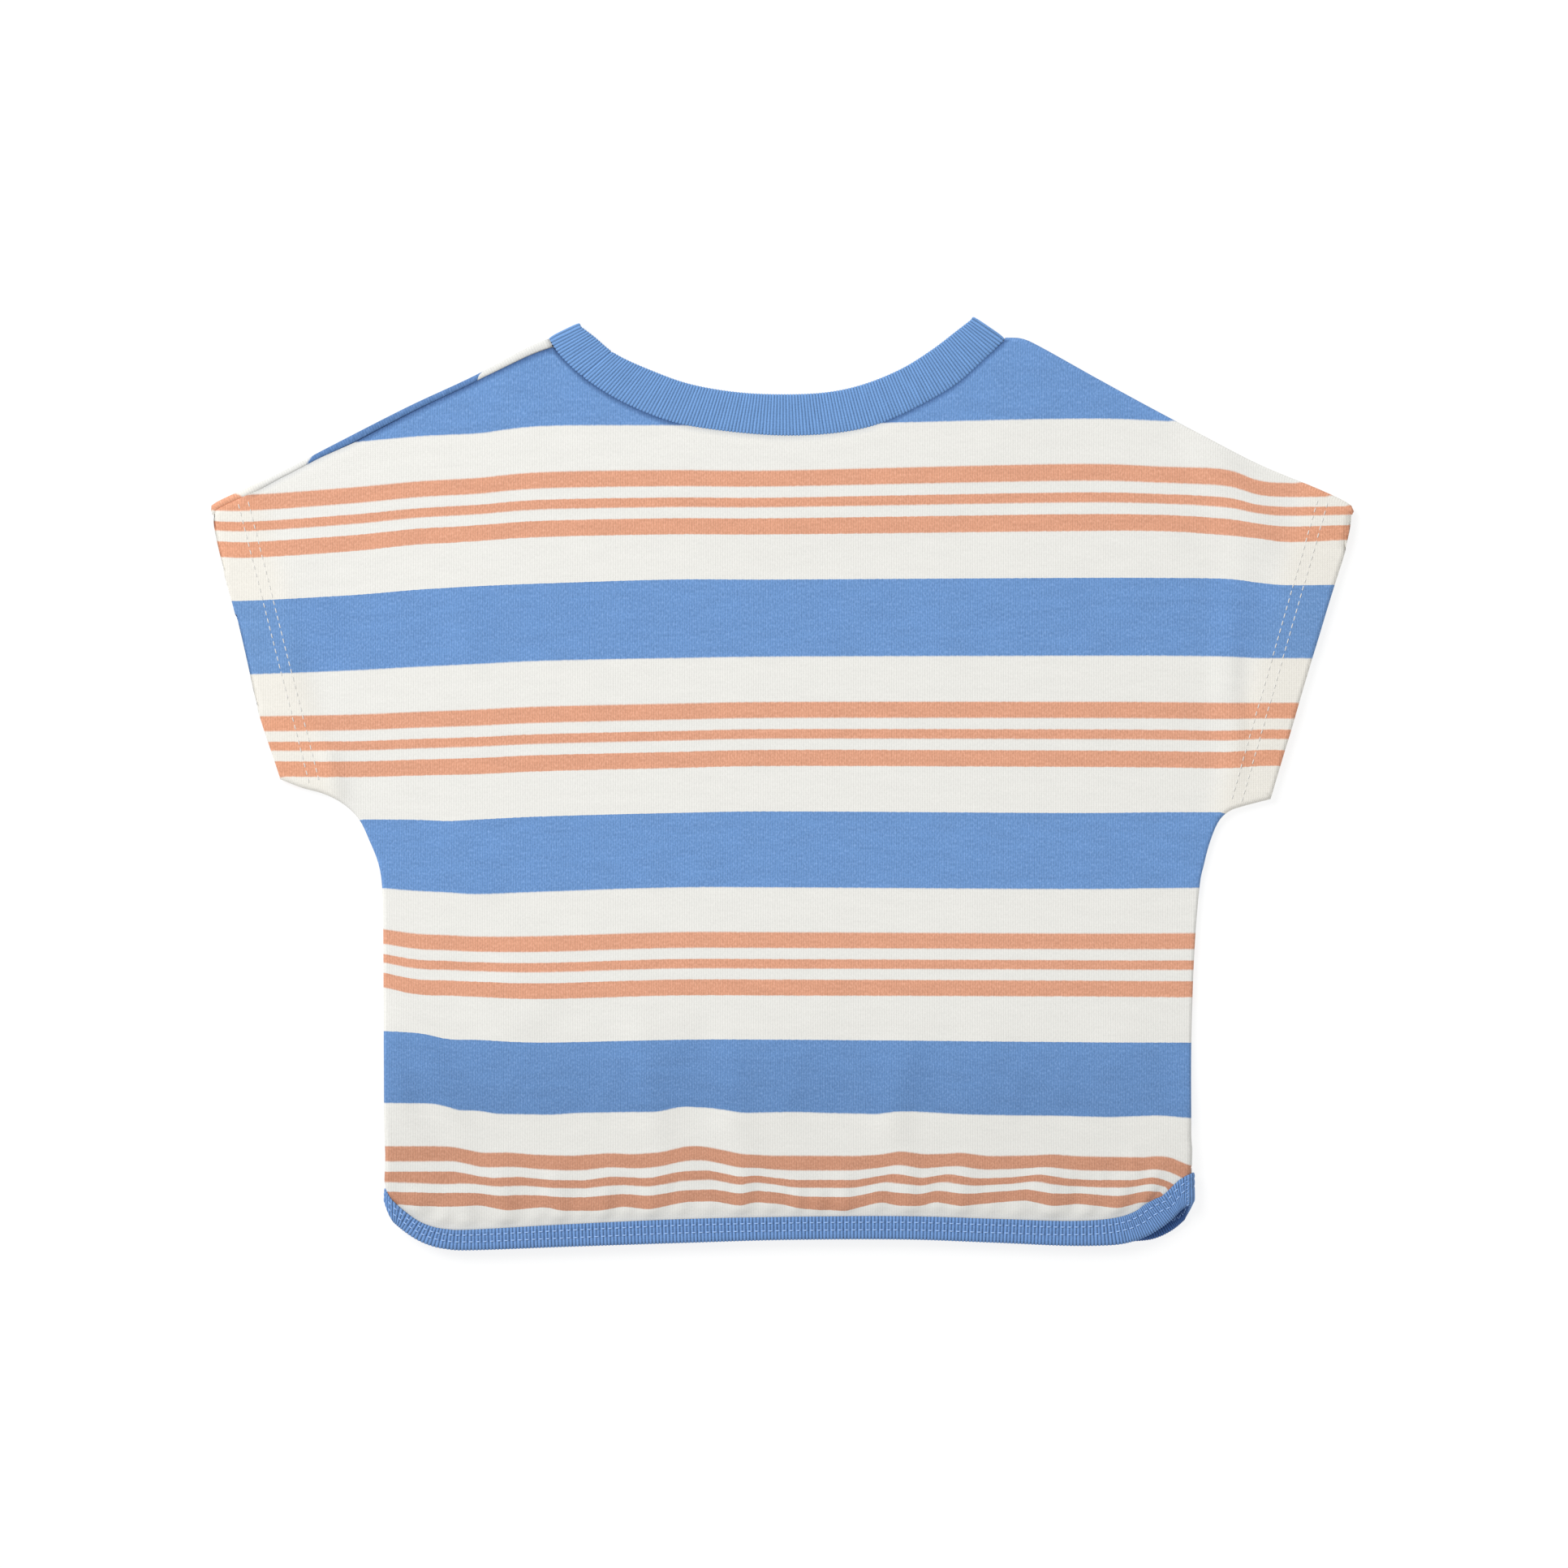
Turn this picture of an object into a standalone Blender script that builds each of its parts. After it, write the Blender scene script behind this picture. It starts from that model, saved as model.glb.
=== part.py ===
"""A toddler's boxy T-shirt in cotton jersey, laid flat with its back side up.

The shirt lies on the plane z = 0 with its neck towards +Y. It is made of a front
and a back panel whose short sleeves are cut in one with them, a folded rib
neckband and a rib strip that binds the curved hem all round. Each panel is a
sheet stretched between its hem, its sides and its neck and shoulders, rolled
round at the folds of the flattened shirt, and then given its wall.

The tables are in millimetres as drawn for a chest of 310 mm, seen from above.
"""
import math

import bmesh
import bpy
import numpy as np

MM = 0.001

# Driving sizes, in mm
CHEST_WIDTH = 310.0
DRAWN_CHEST = 310.0
WALL = 1.0
CUFF_WALL = 1.7
CUFF_TURN = 15.0
HOLLOW = 1.0
SEAM_GAP = 0.3
BAND_THICKNESS = 1.8
BAND_LEVEL = {"front": 0.9, "back": 3.1}
NECK_LIFT = 0.6
BIND_WALL = 1.0
HEM_EDGE_INSET = 2.0
ABOVE_BINDING = 0.6
NECK_GAP = 0.45
SHOULDER_GAP = 0.4
FIT = CHEST_WIDTH / DRAWN_CHEST

# How far the binding stands off the middle of the cloth, and the cloth's levels there
BIND_OUT = WALL / 2 + SEAM_GAP + BIND_WALL
HEM_LEVEL = {"front": BIND_OUT, "back": 3 * BIND_OUT + SEAM_GAP}
HEM_RISE_START = 30.0
HEM_RISE_END = 2.5

# Neck ellipse round which the back panel rides up on the hidden front neckband
NECK_CENTRE = (0.0, 172.0)
NECK_RADII = (95.0, 68.0)
NECK_FADE = 1.35

# Silhouette, each line from left to right or from the hem upwards: x, y
LEFT_SHOULDER = ((-218.0, 105.2), (-216.2, 107.9), (-193.8, 118.3), (-172.4, 129.4), (-143.2, 144.3),
                 (-118.7, 155.7), (-98.0, 166.6), (-89.7, 170.3))
RIGHT_SHOULDER = ((85.8, 170.6), (92.0, 170.2), (99.5, 166.7), (119.4, 155.6), (140.1, 144.3),
                  (161.2, 133.1), (182.6, 122.1), (204.0, 113.2), (216.4, 107.3), (218.1, 104.6))
LEFT_SIDE = ((-151.2, -157.0), (-151.3, -150.0), (-152.3, -136.0), (-152.6, -100.0), (-152.8, -56.0),
             (-153.2, -40.0), (-154.6, -30.8), (-157.8, -22.5), (-162.0, -13.8), (-168.0, -7.9),
             (-175.5, -4.0), (-184.1, -1.6), (-192.5, 1.7))
RIGHT_SIDE = ((155.6, -150.0), (155.7, -144.0), (156.4, -134.0), (156.5, -100.0), (157.6, -66.0),
              (159.6, -40.0), (161.4, -30.8), (163.6, -22.5), (166.9, -14.6), (171.0, -10.6),
              (175.6, -8.9), (180.4, -7.6), (186.3, -6.0))
UNDERARM_START = 5

# The strip of front panel that shows above the left shoulder seam:
# share of the way from cuff to neck, width in mm
SHOULDER_STRIP = ((0.0, 2.5), (0.14, 2.5), (0.22, 1.7), (0.32, 1.9), (0.42, 2.8), (0.56, 2.5),
                  (0.80, 2.0), (0.93, 2.9), (1.0, 3.6))

# Hem binding seen from above: x, outer edge y, upper edge y
HEM = {
    "back": ((-152.5, -160.6, -152.6), (-149.5, -165.6, -156.9), (-143.0, -171.1, -162.6),
             (-136.5, -175.1, -167.2), (-129.0, -177.7, -169.6), (-118.0, -178.3, -170.0),
             (-82.0, -177.0, -168.2), (-40.0, -175.6, -166.3), (0.0, -174.4, -165.4),
             (45.0, -174.2, -165.1), (80.0, -175.4, -166.1), (105.0, -176.5, -166.9),
             (120.0, -176.5, -166.4), (130.0, -175.7, -164.6), (138.3, -173.0, -161.1),
             (147.6, -166.5, -154.6), (153.2, -162.0, -150.4), (156.9, -160.6, -149.2)),
    "front": ((-152.5, -160.6, -152.6), (-149.5, -165.0, -156.6), (-143.0, -170.4, -162.0),
              (-136.5, -174.2, -166.2), (-129.0, -176.8, -168.6), (-118.0, -177.4, -169.0),
              (-82.0, -176.4, -167.6), (-40.0, -175.0, -166.0), (0.0, -174.0, -165.2),
              (45.0, -173.8, -165.0), (80.0, -174.6, -165.6), (105.0, -175.4, -166.4),
              (122.0, -175.6, -166.6), (137.3, -174.9, -165.6), (146.0, -172.2, -162.8),
              (152.0, -168.0, -157.6), (155.6, -164.0, -152.8), (156.9, -160.6, -149.2)),
}

# Neckband seen from above: seam edge x, y, opening edge x, y, droop of the opening edge.
# The first and last rows are the folds at the shoulders.
NECK_ROWS = {
    "back": ((-89.4, 170.2, -77.5, 176.0, 0.0), (-84.4, 162.9, -71.8, 170.9, 0.0),
             (-74.8, 154.2, -63.6, 164.3, 0.1), (-60.2, 145.3, -50.6, 158.3, 0.4),
             (-42.0, 138.1, -35.6, 153.0, 0.8), (-21.8, 134.6, -18.0, 149.9, 1.0),
             (0.0, 132.9, 0.0, 149.0, 1.1), (20.0, 133.8, 17.0, 149.8, 1.0),
             (36.2, 137.1, 31.2, 152.9, 0.8), (52.2, 144.2, 45.4, 158.7, 0.4),
             (66.4, 152.5, 57.0, 165.9, 0.1), (77.2, 162.0, 66.2, 172.9, 0.0),
             (85.5, 170.5, 73.1, 179.0, 0.0)),
    "front": ((-89.4, 170.2, -77.5, 176.0, 0.0), (-84.6, 161.0, -71.6, 168.0, 0.0),
              (-76.5, 146.0, -63.0, 153.5, 0.0), (-63.0, 130.0, -51.5, 141.0, 0.0),
              (-44.0, 117.5, -36.0, 131.4, 0.0), (-22.0, 111.0, -18.0, 126.4, 0.0),
              (0.0, 109.0, 0.0, 125.0, 0.0), (21.0, 111.0, 17.5, 126.4, 0.0),
              (42.0, 117.5, 34.5, 131.4, 0.0), (60.5, 130.0, 49.5, 141.4, 0.0),
              (73.0, 146.0, 60.0, 154.6, 0.0), (80.6, 161.0, 67.6, 169.4, 0.0),
              (85.5, 170.5, 73.1, 179.0, 0.0)),
}

# Soft folds pressed into the back panel: from x, y, to x, y, half width, height
FOLDS = (
    (162.0, 130.0, 189.0, 86.0, 7.0, 1.3),      # across the right sleeve head
    (150.0, 112.0, 170.0, 70.0, 8.0, -0.35),    # hollow beside it
    (171.0, 76.0, 171.2, 2.0, 4.5, 1.0),        # up from the right underarm
    (177.5, 60.0, 178.0, 8.0, 3.5, -0.30),
    (-174.0, 14.0, -169.0, -6.0, 4.0, 1.0),     # at the left underarm
    (-190.0, 96.0, -176.0, 60.0, 9.0, 0.7),     # left sleeve head
    (-145.0, -88.0, -121.0, -136.0, 6.5, 1.1),  # slanting down the left side
    (-150.0, -112.0, -136.0, -142.0, 7.0, 0.7),
    (-112.0, -74.0, -92.0, -92.0, 12.0, 0.6),   # where the stripes dip left of the middle
    (-55.0, -92.0, -47.0, -140.0, 6.5, 0.9),    # left bank of the lower hollow
    (-36.0, -100.0, -34.0, -132.0, 8.0, -0.40), # lower hollow
    (-22.0, -96.0, -17.0, -138.0, 7.0, 0.9),    # right bank of it
    (48.0, -100.0, 40.0, -140.0, 6.5, 0.9),     # slanting fold right of the middle
    (128.0, -96.0, 141.0, -140.0, 10.0, 0.7),   # down the right side
)

# Gathers above the binding: x at the binding, half width, height, reach, lean
GATHERS = {
    "back": (
        (-141.0, 3.2, 0.9, 16.0, 0.30), (-131.0, 2.6, 0.8, 12.0, 0.35), (-120.0, 3.4, 0.8, 20.0, -0.10),
        (-104.8, 4.0, 1.2, 34.0, -0.15), (-94.0, 2.4, 0.6, 10.0, 0.00), (-84.6, 3.6, 1.1, 30.0, -0.10),
        (-76.5, 2.2, 0.6, 11.0, 0.00), (-68.5, 3.0, 1.0, 22.0, 0.10), (-59.5, 2.4, 0.6, 12.0, 0.00),
        (-50.2, 3.8, 1.1, 30.0, 0.05), (-39.0, 2.6, 0.7, 14.0, 0.00), (-28.0, 2.6, 0.6, 12.0, 0.00),
        (-16.1, 4.0, 1.2, 34.0, 0.05), (-5.0, 2.6, 0.8, 14.0, 0.00), (5.3, 2.6, 0.9, 18.0, 0.05),
        (13.6, 2.6, 0.9, 16.0, 0.00), (24.5, 3.2, 1.0, 22.0, -0.10), (36.0, 2.8, 0.7, 14.0, 0.00),
        (49.0, 4.2, 1.2, 36.0, -0.12), (59.0, 2.4, 0.6, 12.0, 0.00), (68.2, 4.0, 1.1, 30.0, 0.05),
        (79.0, 2.6, 0.6, 12.0, 0.00), (90.0, 3.2, 0.7, 16.0, 0.10), (103.2, 4.4, 1.2, 30.0, -0.10),
        (115.0, 3.0, 0.8, 14.0, 0.30), (127.0, 3.8, 1.1, 22.0, 0.25), (139.0, 3.2, 0.9, 16.0, 0.20),
    ),
    "front": (
        (-128.0, 4.0, 0.6, 18.0, 0.20), (-103.0, 4.5, 0.9, 26.0, -0.10), (-79.0, 4.0, 0.7, 18.0, 0.00),
        (-57.0, 4.5, 0.9, 24.0, 0.10), (-30.0, 4.0, 0.6, 16.0, 0.00), (-8.0, 4.5, 0.9, 26.0, 0.05),
        (19.0, 4.0, 0.7, 20.0, -0.10), (43.0, 4.5, 0.9, 24.0, 0.00), (66.0, 4.0, 0.6, 16.0, 0.05),
        (92.0, 4.5, 0.9, 26.0, 0.00), (120.0, 4.0, 0.6, 18.0, 0.15),
    ),
}

# Grid of each panel: columns over a shoulder and over the neck, rows up the side,
# round the underarm and along the cuff
PANEL_GRID = {
    "back": {"shoulder": 14, "neck": 30, "side": 10, "underarm": 7, "cuff": 7},
    "front": {"shoulder": 14, "neck": 22, "side": 10, "underarm": 7, "cuff": 5},
}
FIRST_ROWS = (0.0, 4.0)
BAND_STATIONS = 26
BAND_FOLD_STEPS = 4
BINDING_STATIONS = 40

# Shares of a quarter turn at which a rolled edge has its points, the last ones close
# together so that the edge stands square to the one it meets
QUARTER_SHARES = (0.36, 0.70, 0.93, 1.0)
SIDE_COLUMNS = len(QUARTER_SHARES)
HALF_STEPS = 6

BLUE = (0.162, 0.323, 0.631)
DEEP_BLUE = (0.136, 0.262, 0.509)
CREAM = (0.855, 0.847, 0.804)


# ---------------------------------------------------------------- lines and fields

def smoothstep(low, high, value):
    """0 below low, 1 above high, and an even S between them."""
    share = np.clip((value - low) / (high - low), 0.0, 1.0)
    return share * share * (3.0 - 2.0 * share)


def smooth_line(points, steps=16):
    """A dense smooth curve through the points, of any number of columns."""
    p = np.array(points, dtype=float)
    p = np.vstack([2 * p[0] - p[1], p, 2 * p[-1] - p[-2]])
    t = np.linspace(0.0, 1.0, steps, endpoint=False)[:, None]
    pieces = []
    for a, b, c, d in zip(p[:-3], p[1:-2], p[2:-1], p[3:]):
        bend = (2 * a - 5 * b + 4 * c - d) * t ** 2 + (3 * b - a - 3 * c + d) * t ** 3
        pieces.append(0.5 * (2 * b + (c - a) * t + bend))
    return np.vstack(pieces + [p[-2:-1]])


def shares(line):
    """Share of a line's length reached at each of its points."""
    steps = np.linalg.norm(np.diff(line[:, :2], axis=0), axis=1)
    total = np.concatenate([[0.0], np.cumsum(steps)])
    return total / total[-1]


def along(line, where):
    """Points of a dense line at the given shares of its length."""
    at = shares(line)
    return np.stack([np.interp(where, at, column) for column in line.T], axis=1)


def unit(vectors):
    """Vectors brought to length 1."""
    return vectors / np.linalg.norm(vectors, axis=-1, keepdims=True)


def left_of(line):
    """Unit normals on the left-hand side of a line."""
    run = np.gradient(line[:, :2], axis=0)
    return unit(np.stack([-run[:, 1], run[:, 0]], axis=1))


def cuff_line(side):
    """Underarm corner and sleeve tip of a cuff; side is -1 on the left, 1 on the right."""
    if side < 0:
        return np.array(LEFT_SIDE[-1]), np.array(LEFT_SHOULDER[0])
    return np.array(RIGHT_SIDE[-1]), np.array(RIGHT_SHOULDER[-1])


def cuff_way(side):
    """Unit vector along a cuff from the underarm to the shoulder."""
    corner, tip = cuff_line(side)
    return unit(tip - corner)


def doubled(x, y):
    """1 where the sleeve end is turned in and the cloth is double, 0 elsewhere."""
    share = 0.0
    for side in (-1, 1):
        corner, _ = cuff_line(side)
        way = cuff_way(side)
        inwards = -side * np.array([way[1], -way[0]])
        depth = (x - corner[0]) * inwards[0] + (y - corner[1]) * inwards[1]
        run = (x - corner[0]) * way[0] + (y - corner[1]) * way[1]
        on_sleeve = smoothstep(-18.0, -11.0, run)
        share = share + on_sleeve * (1.0 - smoothstep(CUFF_TURN - 1.0, CUFF_TURN + 2.0, depth))
    return share


def wall(x, y):
    """Thickness of the cloth at a place."""
    return WALL + (CUFF_WALL - WALL) * doubled(x, y)


def hem_at(layer, x):
    """Outer edge, upper edge and slope factor of the binding at x."""
    line = smooth_line(HEM[layer])
    edge = np.interp(x, line[:, 0], line[:, 1])
    top = np.interp(x, line[:, 0], line[:, 2])
    slope = np.gradient(line[:, 1]) / np.gradient(line[:, 0])
    steepness = np.sqrt(1.0 + np.interp(x, line[:, 0], slope) ** 2)
    return edge, top, steepness


def cloth_hem(layer, x):
    """The cloth's own raw edge inside the binding, at x."""
    edge, _, steepness = hem_at(layer, x)
    return edge + HEM_EDGE_INSET * steepness


def free_edge(layer, x):
    """Where the cloth comes out of the binding, at x."""
    return hem_at(layer, x)[1] + ABOVE_BINDING


def level(layer, x, y):
    """Height of the middle of the cloth before folds, at a place."""
    thick = wall(x, y)
    above = y - np.maximum(hem_at("front", x)[1], hem_at("back", x)[1])
    at_hem = 1.0 - smoothstep(HEM_RISE_END, HEM_RISE_START, above)
    if layer == "front":
        return thick / 2 + (HEM_LEVEL["front"] - WALL / 2) * at_hem
    across = (x - NECK_CENTRE[0]) / NECK_RADII[0]
    down = (y - NECK_CENTRE[1]) / NECK_RADII[1]
    at_neck = 1.0 - smoothstep(1.0, NECK_FADE, np.hypot(across, down))
    base = 1.5 * thick + HOLLOW
    return base + (HEM_LEVEL["back"] - 1.5 * WALL - HOLLOW) * at_hem + NECK_LIFT * at_neck


def fold_heights(x, y):
    """Heights of the soft folds: a ridge along each row's line, faded at its ends."""
    total = np.zeros_like(x)
    for x0, y0, x1, y1, half_width, height in FOLDS:
        way = np.array([x1 - x0, y1 - y0])
        size = np.hypot(*way)
        way = way / size
        run = ((x - x0) * way[0] + (y - y0) * way[1]) / size
        off = ((y - y0) * way[0] - (x - x0) * way[1]) / half_width
        ends = smoothstep(-0.25, 0.30, run) * (1.0 - smoothstep(0.70, 1.25, run))
        total += height * ends * np.exp(-off ** 2)
    return total


def gather_heights(layer, x, y):
    """Heights of the gathers: ridges that start at the binding and fade up the cloth."""
    above = y - hem_at(layer, x)[1] - HEM_RISE_END
    total = np.zeros_like(x)
    for x0, half_width, height, reach, lean in GATHERS[layer]:
        off = (x - x0 - lean * above) / (half_width * (1.0 + 0.5 * above / reach))
        fade = smoothstep(0.0, 4.5, above) * (1.0 - smoothstep(0.25 * reach, reach, above))
        total += height * fade * np.exp(-off ** 2)
    return total


def surface(layer, x, y):
    """Height of the middle of the cloth with its folds and gathers."""
    z = level(layer, x, y) + gather_heights(layer, x, y)
    if layer == "back":
        z = z + fold_heights(x, y)
    return z


def fold_radius(x, y):
    """Radius to the middle of the cloth where front and back fold into each other."""
    return (level("back", x, y) - level("front", x, y)) / 2


# ---------------------------------------------------------------- the panels

def turned_ends(line, normals, start_way=None, end_way=None, reach=8.0):
    """Normals eased into given directions over the last few millimetres of a line."""
    run = shares(line) * np.linalg.norm(np.diff(line[:, :2], axis=0), axis=1).sum()
    ways = normals.copy()
    if start_way is not None:
        ease = np.clip(1.0 - run / reach, 0.0, 1.0)[:, None]
        ways = unit(ways * (1.0 - ease) + np.array(start_way) * ease)
    if end_way is not None:
        ease = np.clip(1.0 - (run[-1] - run) / reach, 0.0, 1.0)[:, None]
        ways = unit(ways * (1.0 - ease) + np.array(end_way) * ease)
    return ways


def neck_fold_way(row, side):
    """Unit vector across a shoulder fold of the neckband, out of the shirt."""
    seam_x, seam_y, open_x, open_y, _ = row
    way = unit(np.array([open_x - seam_x, open_y - seam_y]))
    return side * np.array([way[1], -way[0]])


def shoulder_line(layer, side, count):
    """A shoulder's start of roll, its outward directions and what lies past it.

    Returns the points where the cloth starts to roll, or where it ends at the
    left shoulder seam, the directions out of the shirt, and the length of cloth
    that is turned over onto the back."""
    outline = smooth_line(LEFT_SHOULDER if side < 0 else RIGHT_SHOULDER)
    line = along(outline, np.linspace(0.0, 1.0, count + 1))
    tip_way = cuff_way(side)
    row = NECK_ROWS["back"][0 if side < 0 else -1]
    neck_way = neck_fold_way(row, side)
    ends = (tip_way, neck_way) if side < 0 else (neck_way, tip_way)
    ways = turned_ends(line, left_of(line), *ends)
    inset = fold_radius(line[:, 0], line[:, 1]) + wall(line[:, 0], line[:, 1]) / 2
    flap = np.zeros(count + 1)
    if side < 0:
        strip_at, strip_width = np.array(SHOULDER_STRIP).T
        strip = np.interp(np.linspace(0.0, 1.0, count + 1), strip_at, strip_width)
        flap = np.maximum(strip - inset, SHOULDER_GAP)
        if layer == "back":
            inset = inset + flap + SHOULDER_GAP
    return line - ways * inset[:, None], ways, flap


def side_line(layer, side, rows):
    """A side's start of roll from the hem to the cuff, with its outward directions."""
    outline = smooth_line(LEFT_SIDE if side < 0 else RIGHT_SIDE)
    table = LEFT_SIDE if side < 0 else RIGHT_SIDE
    turn = np.argmin(np.linalg.norm(outline - np.array(table[UNDERARM_START]), axis=1))
    side_part, underarm_part = outline[:turn + 1], outline[turn:]
    size = np.linalg.norm(np.diff(side_part, axis=0), axis=1).sum()
    first = np.array(FIRST_ROWS) / size
    rest = np.linspace(first[-1], 1.0, rows["side"] - len(first) + 2)[1:]
    line = np.vstack([along(side_part, np.concatenate([first, rest])),
                      along(underarm_part, np.linspace(0.0, 1.0, rows["underarm"] + 1))[1:]])
    ways = turned_ends(line, -side * left_of(line), (side, 0.0), -cuff_way(side))
    inset = fold_radius(line[:, 0], line[:, 1]) + wall(line[:, 0], line[:, 1]) / 2
    start = line - ways * inset[:, None]
    start[0, 1] = free_edge(layer, start[0, 0])
    return start, ways


def neck_line(layer, start, end, count):
    """The neck edge of a panel, from the end of one shoulder to the other."""
    rows = np.array(NECK_ROWS[layer])
    seam, opening = rows[:, 0:2], rows[:, 2:4]
    seam = seam + unit(seam - opening) * NECK_GAP
    line = smooth_line(np.vstack([start, seam[1:-1], end]))
    return along(line, np.linspace(0.0, 1.0, count + 1))


def quarter_roll(start, ways, height, half_height):
    """Rows of points that carry a sheet a quarter turn round a fold.

    The sheet leaves start in direction ways and stands upright just short of
    half_height above it, or below it where that is negative."""
    reach = np.abs(half_height)
    rise = half_height - np.sign(half_height) * SEAM_GAP / 2
    rows = []
    for share in QUARTER_SHARES:
        angle = share * math.pi / 2
        place = start + ways * (reach * math.sin(angle))[:, None]
        rows.append(np.column_stack([place, height + rise * (1.0 - math.cos(angle))]))
    return rows


def half_roll(start, ways, height, half_height, flap):
    """Rows of points that turn a sheet right over a fold, with a flap past it."""
    rows = []
    for step in range(1, HALF_STEPS + 1):
        angle = math.pi * step / HALF_STEPS
        place = start + ways * (half_height * math.sin(angle))[:, None]
        rows.append(np.column_stack([place, height + half_height * (1.0 - math.cos(angle))]))
    end = start - ways * flap[:, None]
    rows.append(np.column_stack([end, height + 2 * half_height]))
    return rows


def panel_points(layer):
    """Grid of points of a panel's middle surface, and which of its cells are cloth."""
    rows = PANEL_GRID[layer]
    left_top, left_ways, left_flap = shoulder_line(layer, -1, rows["shoulder"])
    right_top, right_ways, _ = shoulder_line(layer, 1, rows["shoulder"])
    neck = neck_line(layer, left_top[-1], right_top[0], rows["neck"])
    top = np.vstack([left_top, neck[1:-1], right_top])

    sides = []
    for side in (-1, 1):
        start, ways = side_line(layer, side, rows)
        tip = top[0] if side < 0 else top[-1]
        corner = start[-1]
        cuff = corner + np.linspace(0.0, 1.0, rows["cuff"] + 1)[1:, None] * (tip - corner)
        sides.append((np.vstack([start, cuff]), ways))
    left, right = sides[0][0], sides[1][0]
    rolled = len(sides[0][1])

    # sheet between the four lines, by Coons' rule
    u = shares(top)
    v = (shares(left) + shares(right)) / 2
    hem_x = left[0, 0] + u * (right[0, 0] - left[0, 0])
    bottom = np.column_stack([hem_x, free_edge(layer, hem_x)])
    uu, vv = u[None, :, None], v[:, None, None]
    ruled = (1 - vv) * bottom[None] + vv * top[None] + (1 - uu) * left[:, None] + uu * right[:, None]
    corners = ((1 - uu) * (1 - vv) * bottom[0] + uu * (1 - vv) * bottom[-1]
               + (1 - uu) * vv * top[0] + uu * vv * top[-1])
    flat = ruled - corners
    z = surface(layer, flat[..., 0], flat[..., 1])
    sheet = np.concatenate([flat, z[..., None]], axis=2)

    # rolled columns down both sides, and the raw edge inside the binding
    upward = 1 if layer == "front" else -1
    margins = {}
    silhouette = {0: sheet[0, :, 0]}
    for side, (start, ways) in zip((-1, 1), sides):
        start = start[:rolled]
        height = surface(layer, start[:, 0], start[:, 1])
        seam = (level("front", *start.T) + level("back", *start.T)) / 2
        strips = quarter_roll(start, ways, height, seam - height)
        above_hem = start[:, 1] - start[0, 1]
        turns = np.sin(np.array(QUARTER_SHARES) * math.pi / 2)
        silhouette[side] = start[0, 0] + side * turns * (abs(seam[0] - height[0]) + BIND_OUT)
        for outer_x, strip in zip(silhouette[side], strips):
            shear = free_edge(layer, outer_x) - start[0, 1]
            strip[:, 1] += shear * (1.0 - smoothstep(0.0, 9.0, above_hem))
        filled = [np.vstack([strip, np.repeat(strip[-1:], len(left) - rolled, axis=0)]) for strip in strips]
        margins[side] = np.stack(filled, 1)
    grid = np.concatenate([margins[-1][:, ::-1], sheet, margins[1]], axis=1)
    raw_edge = grid[:1].copy()
    raw_edge[0, :, 1] = cloth_hem(layer, np.concatenate([silhouette[-1][::-1], silhouette[0], silhouette[1]]))
    grid = np.concatenate([raw_edge, grid])

    # rolled rows over the shoulders
    shoulder_ways = np.vstack([left_ways, np.zeros((rows["neck"] - 1, 2)), right_ways])
    height = surface(layer, top[:, 0], top[:, 1])
    seam = (level("front", *top.T) + level("back", *top.T)) / 2
    half_height = upward * np.maximum(upward * (seam - height), 0.2)
    over = quarter_roll(top, shoulder_ways, height, half_height)
    if layer == "front":
        flap = np.zeros(len(top))
        flap[:rows["shoulder"] + 1] = left_flap
        whole = half_roll(top, shoulder_ways, height, half_height, flap)
        over = over + over[-1:] * (len(whole) - len(over))
        is_left = np.arange(len(top)) <= rows["shoulder"]
        over = [np.where(is_left[:, None], turned, plain) for turned, plain in zip(whole, over)]
    for row in over:
        row = np.vstack([np.repeat(row[:1], SIDE_COLUMNS, axis=0), row,
                         np.repeat(row[-1:], SIDE_COLUMNS, axis=0)])
        grid = np.concatenate([grid, row[None]], axis=0)

    cells = np.ones((grid.shape[0] - 1, grid.shape[1] - 1), dtype=bool)
    cells[rolled:, :SIDE_COLUMNS] = False
    cells[rolled:, -SIDE_COLUMNS:] = False
    first_roll = len(left)
    neck_start = SIDE_COLUMNS + rows["shoulder"]
    neck_end = neck_start + rows["neck"]
    cells[first_roll:, neck_start:neck_end] = False
    cells[first_roll + SIDE_COLUMNS:, neck_end:] = False
    if layer == "back":
        cells[first_roll:, :neck_start] = False
    return grid, cells


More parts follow.
